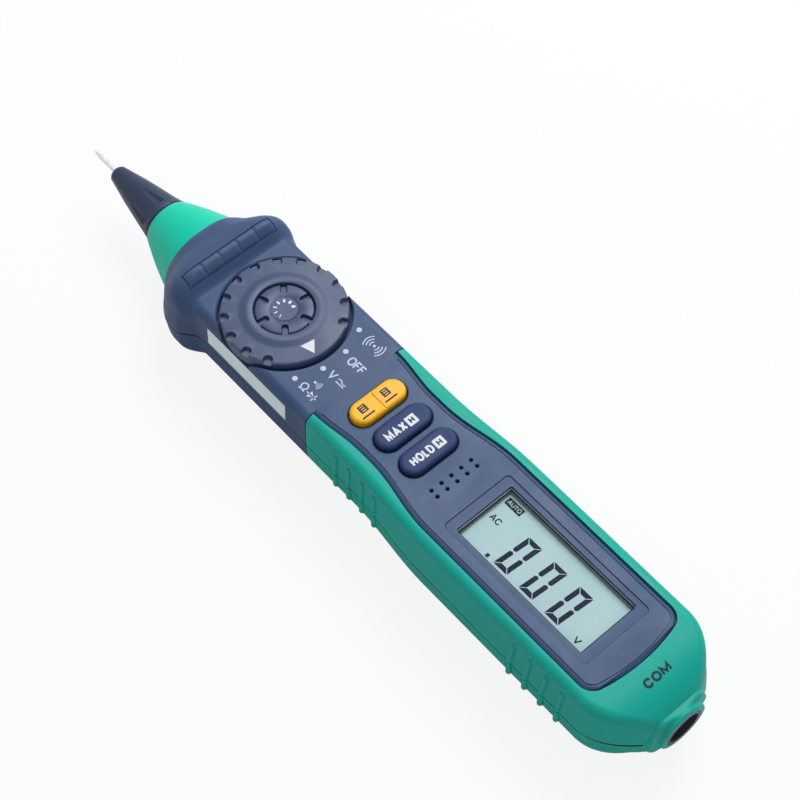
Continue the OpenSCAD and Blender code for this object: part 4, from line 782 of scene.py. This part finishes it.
class METER_OT_grips(bpy.types.Operator):
    """Moulds the two soft grip halves with their ribs and the boss round the socket"""
    bl_idname = "meter.grips"
    bl_label = "Soft grip"

    def execute(self, context):
        r = context.scene.meter_sizes.rib_r / MM
        for up, name in ((1, "upper"), (-1, "lower")):
            ob = shell("grip_" + name, self.rings(up))
            tools = [jack_bore(-90, 64)]
            if up > 0:
                tools.append(prism("t_plate", outline_of_plate(0.32), 19.7, 40))
            else:
                rear = min(y for _, y in screw_places())
                tools.append(cover_hole())
                tools += [prism("t_screw", round_outline(2.45, x, rear, 40), -2, 7)
                          for x in (-REAR_SCREW_X, REAR_SCREW_X)]
            cut(ob, tools, self.ribs(up, r))
            place(ob, "meter", "green_grip", name + "_grip")
        return {"FINISHED"}

    def rings(self, up):
        """Sections of a grip half from its front edge to the round boss at the tail."""
        bore = 4.9
        ys = stations((GRIP_Y - 0.15, WAIST_Y, BODY_Y, TAIL_Y, REAR_Y), (10, 14, 16, 26))
        rings = [(side(y, 0, up), side(y, GRIP - 0.08, up)) for y in ys]
        last = side(REAR_Y, 0, up)
        turn = span(0, math.pi, len(last) - 1)
        for w, y, rad in TAIL_END:
            outer = [(mix(x, rad * math.cos(a), w), y, mix(z, SEAM_Z + up * rad * math.sin(a), w))
                     for (x, _, z), a in zip(last, turn)]
            rings.append((outer, [(bore * math.cos(a), y, SEAM_Z + up * bore * max(0.0, math.sin(a - 1e-9)))
                                  for a in turn]))
        return rings

    def ribs(self, up, r):
        """Ribs of both sides, from the parting line up or down the wall."""
        sunk, start, low_end, high_end = 0.22, 0.95, 9.8, 21.6
        rods = []
        for y in RIB_YS:
            for s in (-1, 1):
                x = s * (half_w(y) - sunk)
                tip = (x, y, low_end)
                if up > 0:
                    h = top_z(y) - SEAM_Z - up_r(y)
                    tip = (s * (half_w(y) - sunk - lean(y) * (high_end - SEAM_Z) / h), y, high_end)
                rods.append(rib("t_rib", (x, y, SEAM_Z + up * start), tip, r))
        return rods


class METER_OT_seam(bpy.types.Operator):
    """Lays a dark strip of painted shade in the gap along the parting line between the housing halves"""
    bl_idname = "meter.seam"
    bl_label = "Parting line"

    def execute(self, context):
        for s, name in ((1, "right"), (-1, "left")):
            path = [(s * (half_w(y) - 0.27), y) for y in span(COLLAR_Y - 0.5, REAR_Y + 0.4, 150)]
            # A dark strip of painted shade, laid in the groove between the halves
            line = ribbon("seam_" + name, path, 0.46, SEAM_Z - 0.27, SEAM_Z + 0.27, closed=False)
            place(line, "meter", "shadow_line")
        return {"FINISHED"}


class METER_OT_nose(bpy.types.Operator):
    """Finishes the bright ring, the seal, the nose cone and the needle"""
    bl_idname = "meter.nose"
    bl_label = "Nose"

    def execute(self, context):
        wide, narrow, tip = 12.5, 6.8, 73.4
        slope = [(mix(wide, narrow, t) + 0.3 * math.sin(math.pi * t), mix(COLLAR_Y, tip, t))
                 for t in span(0, 1, 24)[1:-1]]
        outer = [(wide - 0.18, COLLAR_Y), (wide, COLLAR_Y + 0.15), *slope, (narrow - 0.02, tip - 0.12),
                 (narrow - 0.2, tip)]
        inner = [(4.5, tip), (4.5, tip - 1.2), (9.9, COLLAR_Y + 1.4), (9.9, COLLAR_Y)]
        place(turned("nose_collar", outer + inner, z=PROBE_Z), "meter", "green_ring", "nose_ring")
        return dress_all((("nose_seal", "seal_rubber", 0.1), ("nose_cone", "dark_cone", 0.2),
                          ("probe_needle", "needle_steel"), ("needle_holder", "brass_plated"),
                          ("contact_bar", "nickel")))


# Direction of the dial's pointer from +X and the step from notch to notch, in degrees
POINTER, NOTCH_STEP = -100.2, 22.5


def on_dial(points):
    """Points about the dial's axis, in the meter's place."""
    return [(p.x, DIAL_Y + p.y) for p in points]


def notches(angles, centre, far, rows, n):
    """Cutters for finger notches, round inside and open outward, out of rows of (height, radius)."""
    tools = []
    for a in angles:
        d, across = axes(a)
        outlines = []
        for z, r in rows:
            pts = [d * (centre - r * math.cos(t)) + across * r * math.sin(t)
                   for t in span(-math.pi / 2, math.pi / 2, n)]
            outlines.append((on_dial(pts + [d * far + across * r, d * far - across * r]), z))
        tools.append(stack("t_notch", outlines))
    return tools


class METER_OT_dials(bpy.types.Operator):
    """Finishes the range dial, the small knob in it and its cap, with their marks"""
    bl_idname = "meter.dials"
    bl_label = "Dial and knob"

    def execute(self, context):
        sizes = context.scene.meter_sizes
        self.dial_body()
        self.knob_body()
        dress("sens_cap", "cap_grey", sizes.edge_r / MM * 0.6)
        t = sizes.print_t / MM
        d, across = axes(POINTER)
        z = self.ring_height(d * 12.2)
        arrow = [d * 14.1, d * 10.75 + across * 1.85, d * 10.75 - across * 1.85]
        slab("dial_pointer", on_dial(arrow), z - 0.02, z + t, "dial", "legend_white")
        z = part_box("sens_cap")[1].z / MM
        near, far = 1.75, 2.65
        for k in range(7):
            u, v = axes(205 - 230 * k / 6)
            w = 0.1 + 0.04 * k
            bar = [u * near - v * w, u * far - v * w, u * far + v * w, u * near + v * w]
            slab(f"cap_bar{k}", on_dial(bar), z - 0.02, z + t, "sens_knob", "legend_white")
        return {"FINISHED"}

    def dial_body(self):
        """The range dial: a scalloped outer ring round a raised shoulder, with a pocket for the knob."""
        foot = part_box("dial")[0].z / MM
        prof = [(0, 24.2), (7.35, 24.2), (7.35, 26.72), (7.4, 26.82), (7.55, 26.9), (8.7, 26.9),
                (9.0, 26.87), (9.4, 26.75), (10.3, 26.42), (10.6, 26.34), (10.95, 26.3), (14.55, 26.3),
                (14.8, 26.26), (15.0, 26.14), (15.1, 25.95), (15.1, 22.7), (15.0, 22.6), (4.3, 22.6),
                (4.3, foot), (0, foot)]
        ob = turned("dial_body", prof, y=DIAL_Y, axis="Z", parts=160)
        rows = ((25.2, 0.9), (25.35, 1.02), (26.05, 1.1), (26.31, 1.26), (27, 1.26))
        cut(ob, notches([POINTER + NOTCH_STEP * k for k in range(2, 15)], 14.15, 17, rows, 12), smooth=38)
        place(ob, "dial", "dial_plastic", "dial")

    def knob_body(self):
        """The small knob: six finger slots round a flat cap."""
        foot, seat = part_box("sens_knob")[0].z / MM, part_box("sens_cap")[0].z / MM - 0.02
        prof = [(0, seat), (3.36, seat), (3.36, 26.55), (3.45, 26.6), (6.6, 26.6), (6.85, 26.53),
                (6.98, 26.38), (7.03, 26.15), (7.03, 24.3), (2.0, 24.3), (2.0, foot), (0, foot)]
        ob = turned("knob_body", prof, y=DIAL_Y, axis="Z", parts=128)
        rows = ((25.7, 0.66), (25.82, 0.74), (26.42, 0.78), (26.61, 0.9), (27, 0.9))
        cut(ob, notches([52 + 60 * k for k in range(6)], 5.1, 9, rows, 10), smooth=38)
        place(ob, "sens_knob", "knob_plastic", "sens_knob")

    def ring_height(self, spot):
        """Height of the dial's surface at a spot, found with a ray from above."""
        return height_on("dial_body", spot.x * MM, (DIAL_Y + spot.y) * MM) / MM


def height_on(name, x, y):
    """Height of an object's surface at a place, in metres."""
    hit, loc, _, _ = bpy.data.objects[name].ray_cast(Vector((x, y, 0.05)), Vector((0, 0, -1)))
    if not hit:
        raise RuntimeError(name + ": no surface at this place")
    return loc.z


class METER_OT_keys(bpy.types.Operator):
    """Finishes the yellow rocker and the two dark keys, with generic marks and painted shade in the gaps
    round them
    """
    bl_idname = "meter.keys"
    bl_label = "Keys"

    def execute(self, context):
        dress_all((("range_func_key", "key_yellow"), ("max_key", "key_dark"), ("data_key", "key_dark")))
        # Dark rings of painted shade in the gaps round the keys
        for k, y in enumerate(KEY_YS):
            line = ribbon(f"key_gap{k}", key_outline(y, -0.02, 3.48, 14), 0.23, 23.2, 24.84)
            place(line, "meter", "shadow_line")
        t = context.scene.meter_sizes.print_t / MM
        z = 26.5
        # Marks stand a little in the keys' tops, so that no gap shows
        low, high = z - 0.02, z + t
        for k, (x0, x1) in enumerate(((-5.05, -3.0), (1.65, 3.65))):
            x = (x0 + x1) / 2
            for name, outline in (("mark", box_outline(x1 - x0, 2.1, 0.2, x, -4.9)),
                                  ("line", box_outline(3.6, 0.42, 0.2, x, -7.0))):
                slab(f"rocker_{name}{k}", outline, low, high, "rocker", "legend_dark")
            for i in range(3):
                bar = box_outline(1.2, 0.22, 0.1, x, -4.3 - 0.6 * i)
                slab(f"rocker_bar{k}_{i}", bar, z, high + 0.015, "rocker", "key_yellow")
        for name, body, text, area, weight, (x0, x1, y0, y1) in (
                ("max", "max_key", "MAX", (-5.3, 0.5, -15.55, -13.1), 0.23, (0.95, 3.6, -15.6, -13.0)),
                ("hold", "data_key", "HOLD", (-5.25, 1.2, -23.9, -21.6), 0.22, (1.75, 4.45, -24.0, -21.45))):
            word(name + "_word", body, text, area, z, "X", t, weight=weight)
            square = box_outline(x1 - x0, y1 - y0, 0.25, (x0 + x1) / 2, (y0 + y1) / 2)
            slab(name + "_square", square, low, high, body, "legend_white")
            word(name + "_h", body, "H", (x0 + 0.7, x1 - 0.7, y0 + 0.45, y1 - 0.45), high, "X", 0.015,
                 "legend_dark", 0.22)
        return {"FINISHED"}


# Letters as strokes in a unit box, each with its width as a share of its height
GLYPHS = {
    "A": (0.86, [[(0, 0), (0.5, 1), (1, 0)], [(0.2, 0.3), (0.8, 0.3)]]),
    "C": (0.84, [bow(0.5, 0.62, 0.5, 0.38, 22, 180) + bow(0.5, 0.38, 0.5, 0.38, 180, 338)]),
    "D": (0.82, [[(0, 0), (0, 1), (0.45, 1)] + bow(0.45, 0.55, 0.55, 0.45, 90, 0)
                 + bow(0.45, 0.45, 0.55, 0.45, 0, -90), [(0.5, 0), (0, 0)]]),
    "F": (0.66, [[(0, 0), (0, 1), (1, 1)], [(0, 0.53), (0.86, 0.53)]]),
    "H": (0.78, [[(0, 0), (0, 1)], [(1, 0), (1, 1)], [(0, 0.5), (1, 0.5)]]),
    "L": (0.62, [[(0, 1), (0, 0), (1, 0)]]),
    "M": (0.98, [[(0, 0), (0, 1), (0.5, 0.18), (1, 1), (1, 0)]]),
    "O": (0.9, [bow(0.5, 0.6, 0.5, 0.4, 0, 180) + bow(0.5, 0.4, 0.5, 0.4, 180, 360) + [(1, 0.6)]]),
    "T": (0.74, [[(0.5, 0), (0.5, 1)], [(0, 1), (1, 1)]]),
    "U": (0.8, [[(0, 1)] + bow(0.5, 0.4, 0.5, 0.4, 180, 360) + [(1, 1)]]),
    "V": (0.86, [[(0, 1), (0.5, 0), (1, 1)]]),
    "X": (0.82, [[(0, 0), (1, 1)], [(0, 1), (1, 0)]]),
    "Ω": (0.96, [[(0, 0), (0.34, 0)] + bow(0.5, 0.56, 0.46, 0.44, 248, -68, 18) + [(0.66, 0), (1, 0)]]),
}


def word(name, body, text, area, z, reads, t, ink="legend_white", weight=0.2):
    """Printed letters that fill an area (x0, x1, y0, y1), along X or down -Y; weight is a share."""
    x0, x1, y0, y1 = area
    long, tall = (x1 - x0, y1 - y0) if reads == "X" else (y1 - y0, x1 - x0)
    w = weight * tall
    gap = w * 1.35
    total = sum(GLYPHS[c][0] * tall for c in text) + (len(text) - 1) * (gap - w)
    k = long / total
    parts, at = [], 0.0
    for i, c in enumerate(text):
        wide = GLYPHS[c][0] * tall * k
        for j, path in enumerate(GLYPHS[c][1]):
            line = []
            for u, v in path:
                a, b = at + w / 2 + u * (wide - w), w / 2 + v * (tall - w)
                line.append((x0 + a, y0 + b) if reads == "X" else (x0 + b, y1 - a))
            lift = 0.001 * (i + 2 * j)
            parts.append(ribbon(f"{name}_{i}{j}", line, w, z - 0.01, z + t + lift, closed=False))
        at += wide + (gap - w) * k
    return place(merge(name, parts), body, ink)


def merge(name, parts):
    """Several meshes as one object."""
    bm = bmesh.new()
    for p in parts:
        bm.from_mesh(p.data)
        bpy.data.objects.remove(p)
    me = bpy.data.meshes.new(name)
    bm.to_mesh(me)
    bm.free()
    ob = bpy.data.objects.new(name, me)
    bpy.context.scene.collection.objects.link(ob)
    shade(me, 32)
    return ob


class METER_OT_legends(bpy.types.Operator):
    """Prints the dots, range names and signs on the neck, and the socket's name on the tail"""
    bl_idname = "meter.legends"
    bl_label = "Legends"

    def execute(self, context):
        t = context.scene.meter_sizes.print_t / MM
        for k, (x, y) in enumerate(((9.9, 12.6), (3.7, 10.1), (-3.2, 10.0), (-9.8, 12.2))):
            self.spot(f"range_dot{k}", round_outline(0.66, x, y, 32), t)
        for name, text, area, weight in (("off_word", "OFF", (1.8, 4.2, 3.0, 8.0), 0.16),
                                         ("volt_word", "V", (-3.8, -1.5, 6.2, 8.2), 0.17),
                                         ("ohm_word", "Ω", (-10.7, -8.4, 8.0, 10.2), 0.15)):
            word(name, "meter", text, area, FACE_Z, "Y", t, "legend_pale", weight)
        wave = [(-2.5 + 0.3 * math.sin(math.pi * 2 * s), mix(5.5, 2.9, s)) for s in span(0, 1, 16)]
        for name, path, w in (("wave_sign", wave, 0.26), ("line_sign", [(-3.3, 5.5), (-3.3, 2.9)], 0.3),
                              ("diode_bar", [(-9.0, 5.3), (-11.0, 5.3)], 0.3),
                              ("diode_lead", [(-10.0, 7.7), (-10.0, 4.6)], 0.26)):
            self.stroke(name, path, w, t)
        self.spot("diode_body", [(-9.0, 6.9), (-11.0, 6.9), (-10.0, 5.4)], t)
        self.waves("sound_sign", (-7.0, 8.3), (0.75, 1.25, 1.75), 36, 0.2, t, (-1,))
        self.waves("sense_sign", (9.6, 6.9), (1.1, 1.9, 2.7), 42, 0.28, t, (-1, 1))
        word("com_word", "meter", "COM", (-3.5, 3.9, -95.3, -93.1), FACE_Z, "X", t, "legend_dark", 0.25)
        self.drape("com_word")
        return {"FINISHED"}

    def spot(self, name, outline, t):
        """A printed spot on the face."""
        slab(name, outline, FACE_Z - 0.01, FACE_Z + t, "meter", "legend_pale")

    def stroke(self, name, path, w, t):
        """A printed line on the face along a path."""
        place(ribbon(name, path, w, FACE_Z - 0.01, FACE_Z + t, closed=False), "meter", "legend_pale")

    def waves(self, name, spot, radii, spread, w, t, ways):
        """A dot with arcs spreading along the reading direction, as a sign for sound or sensing."""
        x, y = spot
        self.spot(name + "_dot", round_outline(0.36, x, y, 28), t)
        for sign in ways:
            for k, r in enumerate(radii):
                fan = [(x + r * math.sin(math.radians(a)), y + sign * r * math.cos(math.radians(a)))
                       for a in span(-spread, spread, 12)]
                self.stroke(f"{name}{k}{'ab'[sign > 0]}", fan, w, t)

    def drape(self, name):
        """Lays a flat print on the curved tail of the grip."""
        me = bpy.data.objects[name].data
        low = min(v.co.z for v in me.vertices)
        bm = bmesh.new()
        bm.from_mesh(me)
        long = [e for e in bm.edges if e.calc_length() > 0.35 * MM]
        bmesh.ops.subdivide_edges(bm, edges=long, cuts=5, use_grid_fill=True)
        bm.to_mesh(me)
        bm.free()
        for v in me.vertices:
            v.co.z += height_on("grip_upper", v.co.x, v.co.y) - low - 0.01 * MM
        me.update()


class METER_OT_display(bpy.types.Operator):
    """Builds the display behind its window: panel, segments, small signs, a painted highlight line at the
    lens edge and lines of painted shade round the window
    """
    bl_idname = "meter.display"
    bl_label = "Display"

    def execute(self, context):
        sizes = context.scene.meter_sizes
        dress_all((("lcd_lens", "window"), ("lcd_panel", "lcd_glass")))
        z = 22.67
        for d in range(3):
            self.digit(d, -52.1 - 8.0 * d, z, sizes.segment_w / MM)
        for name, high, *spot in (("point_mark", 0.015, 1.0, 0.85, 0.12, -6.6, -49.3),
                                  ("auto_box", 0.012, 2.0, 4.8, 0.2, 6.0, -44.5)):
            slab(name, box_outline(*spot), z - 0.005, z + high, "meter", "digit_navy")
        for text, area, base, t, ink, weight in (
                ("AUTO", (5.45, 6.6, -46.5, -42.5), z + 0.012, 0.008, "lcd_glass", 0.17),
                ("AC", (-0.1, 1.6, -45.6, -42.5), z, 0.015, "digit_navy", 0.18),
                ("V", (-6.9, -5.2, -77.7, -76.0), z, 0.015, "digit_navy", 0.19)):
            word(text.lower() + "_word", "meter", text, area, base, "Y", t, ink, weight)
        # Width of the painted highlight line at the lens edge
        w = sizes.rim_highlight_w / MM
        # A painted highlight line at the lens edge, and lines of painted shade at the sill's edge and on the
        # opening's inner wall
        for name, path, wide, z0, z1, ink in (
                ("window_rim", pane(-w, 0.4), w, 23.68, 23.74, "rim_light"),
                ("frame_line", sill(-0.14, 1.03), 0.13, 24.7, 24.762, "shadow_line"),
                ("window_shade", pane(-2 * w - 0.3, 0.3), 0.3, 23.68, 23.72, "shadow_line")):
            place(ribbon(name, path, wide, z0, z1), "meter", ink)
        return {"FINISHED"}

    def digit(self, d, y_top, z, w):
        """One zero of the display out of six chamfered segments, slanted to the right."""
        x_low, x_high, wide, slant, gap = -6.8, 3.3, 3.0, 0.75, 0.13
        tall, full = x_high - x_low, wide + w
        # Points are (u, v): u in millimetres along the reading direction, v a share of the way up
        e, g = w / tall, gap / tall
        knee = 0.5 - g - e * 0.3
        post = [(0, g), (0, knee), (w * 0.5, 0.5 - g), (w, knee), (w, e + g)]
        bar = [(gap, 0), (full - gap, 0), (full - w - gap, e), (w + gap, e)]
        low = [post, [(full - u, v) for u, v in post], bar]
        for k, seg in enumerate(low + [[(u, 1 - v) for u, v in pts] for pts in low]):
            pts = [(mix(x_low, x_high, v), y_top - u + slant * (1 - v)) for u, v in seg]
            slab(f"segment{d}_{k}", pts, z - 0.005, z + 0.015, "meter", "digit_navy")


class METER_OT_inside(bpy.types.Operator):
    """Finishes what is inside: board, chip, sounder, lamp, cells, springs and contacts"""
    bl_idname = "meter.inside"
    bl_label = "Inside parts"

    def execute(self, context):
        return dress_all((
            ("contact_rotor", "black_abs"), ("rotor_brushes", "phosphor_bronze"), ("detent_ball", "nickel"),
            ("detent_spring", "spring_steel"), ("key_mat", "mat_rubber"), ("lcd_holder", "black_abs"),
            ("contact_strips", "zebra_rubber"), ("main_board", "board_fr4"), ("measuring_chip", "chip_resin"),
            ("alarm_lamp", "lamp_lens"), ("sounder", "black_abs"), ("sens_potentiometer", "shroud_black"),
            ("battery_cells", "cell_wrap"), ("cell_springs", "spring_steel"), ("cell_plates", "nickel")))


class METER_OT_back(bpy.types.Operator):
    """Finishes the battery cover, the screws and the label on the neck"""
    bl_idname = "meter.back"
    bl_label = "Back and label"

    def execute(self, context):
        return dress_all((("battery_cover", "dark_casing", 0.15, 26), ("cover_screw", "screw_steel", 0.08),
                          ("casing_screws", "screw_steel", 0.08), ("label_strip", "label_white")))


class METER_OT_socket(bpy.types.Operator):
    """Finishes the test-lead socket at the tail"""
    bl_idname = "meter.socket"
    bl_label = "Socket"

    def execute(self, context):
        return dress_all((("jack_shroud", "shroud_black", 0.15), ("jack_contact", "brass_plated")))


# Camera of the photograph: direction in degrees, lens and sensor, and its place right, up and back
VIEW_AZ, VIEW_EL, LENS, SENSOR = -41.34, 58.28, 90, 36
VIEW_RIGHT, VIEW_UP, VIEW_BACK = 8.57, 10.51, 476.34


class METER_OT_stage(bpy.types.Operator):
    """Sets the pale floor, the soft lamps and the camera at the photograph's angle"""
    bl_idname = "meter.stage"
    bl_label = "Stage"

    def execute(self, context):
        values = context.scene.meter_stage
        self.floor(values.floor)
        self.surroundings(context.scene, values.sky)
        self.lamp("key_lamp", (0.42, 0.18, 0.68), 0.5, values.key_power)
        self.lamp("fill_lamp", (-0.6, -0.35, 0.5), 0.7, values.fill_power)
        self.camera(context.scene)
        context.scene.view_settings.view_transform = "Standard"
        return {"FINISHED"}

    def floor(self, colour):
        """A wide floor that shows almost white to the camera and keeps the meter's shadow."""
        half, under = 4000, -0.04
        corners = [(x * half, y * half, under) for x, y in ((-1, -1), (1, -1), (1, 1), (-1, 1))]
        floor = mesh_object("floor", corners, [(0, 1, 2, 3)], 0)
        mat, tree = new_material("floor_paper")
        link = tree.links.new
        out, both = add_node(tree, "OutputMaterial"), add_node(tree, "MixShader")
        paper = add_node(tree, "BsdfDiffuse", Color=(*colour, 1))
        white = add_node(tree, "Emission", Strength=1.0)
        share = add_node(tree, "Math", operation="MULTIPLY")
        share.inputs[1].default_value = 0.88
        link(add_node(tree, "LightPath").outputs["Is Camera Ray"], share.inputs[0])
        link(share.outputs[0], both.inputs[0])
        link(paper.outputs[0], both.inputs[1])
        link(white.outputs[0], both.inputs[2])
        link(both.outputs[0], out.inputs[0])
        floor.data.materials.append(mat)

    def surroundings(self, scene, sky):
        """A white world: full strength to the camera, gloss and glass, and weaker as light."""
        world = bpy.data.worlds.new("white_room")
        scene.world = world
        world.use_nodes = True
        tree = world.node_tree
        link = tree.links.new
        background = tree.nodes["Background"]
        background.inputs["Color"].default_value = (1, 1, 1, 1)
        rays = add_node(tree, "LightPath").outputs
        clear, seen = (add_node(tree, "Math", operation="MAXIMUM") for _ in range(2))
        strength = add_node(tree, "MapRange", To_Min=sky)
        link(rays["Is Glossy Ray"], clear.inputs[0])
        link(rays["Is Transmission Ray"], clear.inputs[1])
        link(rays["Is Camera Ray"], seen.inputs[0])
        link(clear.outputs[0], seen.inputs[1])
        link(seen.outputs[0], strength.inputs["Value"])
        link(strength.outputs[0], background.inputs["Strength"])

    def camera(self, scene):
        """The camera at the photograph's angle."""
        data = bpy.data.cameras.new("camera")
        data.lens, data.sensor_width, data.clip_start = LENS, SENSOR, 0.01
        ob = bpy.data.objects.new("camera", data)
        scene.collection.objects.link(ob)
        az, el = math.radians(VIEW_AZ), math.radians(VIEW_EL)
        back = Vector((math.sin(az) * math.cos(el), -math.cos(az) * math.cos(el), math.sin(el)))
        right = Vector((math.cos(az), math.sin(az), 0))
        up = back.cross(right)
        m = Matrix((right, up, back)).transposed().to_4x4()
        m.translation = (right * VIEW_RIGHT + up * VIEW_UP + back * VIEW_BACK) * MM
        ob.matrix_world = m
        scene.camera = ob

    def lamp(self, name, spot, size, power):
        """A square soft lamp aimed at the meter."""
        data = bpy.data.lights.new(name, "AREA")
        data.shape, data.size, data.energy = "SQUARE", size, power
        ob = bpy.data.objects.new(name, data)
        bpy.context.scene.collection.objects.link(ob)
        ob.location = spot
        ob.rotation_euler = (Vector(spot) - Vector((0, 0, 0.015))).to_track_quat("Z", "Y").to_euler()


class VIEW3D_PT_meter(bpy.types.Panel):
    """Lists the pieces' operators and their values"""
    bl_label = "Pen meter"
    bl_space_type = "VIEW_3D"
    bl_region_type = "UI"
    bl_category = "Pen meter"

    def draw(self, context):
        column = self.layout.column()
        for op in OPERATORS:
            column.operator(op.bl_idname)
        for group in (context.scene.meter_sizes, context.scene.meter_stage, context.scene.meter_colours):
            for key in group.bl_rna.properties.keys():
                if key not in ("rna_type", "name"):
                    column.prop(group, key)


GROUPS = (MeterSizes, MeterColours, MeterStage)
OPERATORS = (METER_OT_upper_casing, METER_OT_lower_casing, METER_OT_grips, METER_OT_seam, METER_OT_nose,
             METER_OT_dials, METER_OT_keys, METER_OT_display, METER_OT_legends, METER_OT_inside,
             METER_OT_back, METER_OT_socket, METER_OT_stage)


def register():
    """Registers the classes and hangs the value groups on the scene."""
    for cls in (*GROUPS, *OPERATORS, VIEW3D_PT_meter):
        bpy.utils.register_class(cls)
    bpy.types.Scene.meter_sizes = bpy.props.PointerProperty(type=MeterSizes)
    bpy.types.Scene.meter_colours = bpy.props.PointerProperty(type=MeterColours)
    bpy.types.Scene.meter_stage = bpy.props.PointerProperty(type=MeterStage)


def unregister():
    """Takes the classes and the value groups off again."""
    del bpy.types.Scene.meter_stage, bpy.types.Scene.meter_colours, bpy.types.Scene.meter_sizes
    for cls in reversed((*GROUPS, *OPERATORS, VIEW3D_PT_meter)):
        bpy.utils.unregister_class(cls)


def main():
    """Builds every piece in order."""
    register()
    for op in OPERATORS:
        group, name = op.bl_idname.split(".")
        getattr(getattr(bpy.ops, group), name)()


if __name__ == "__main__":
    main()
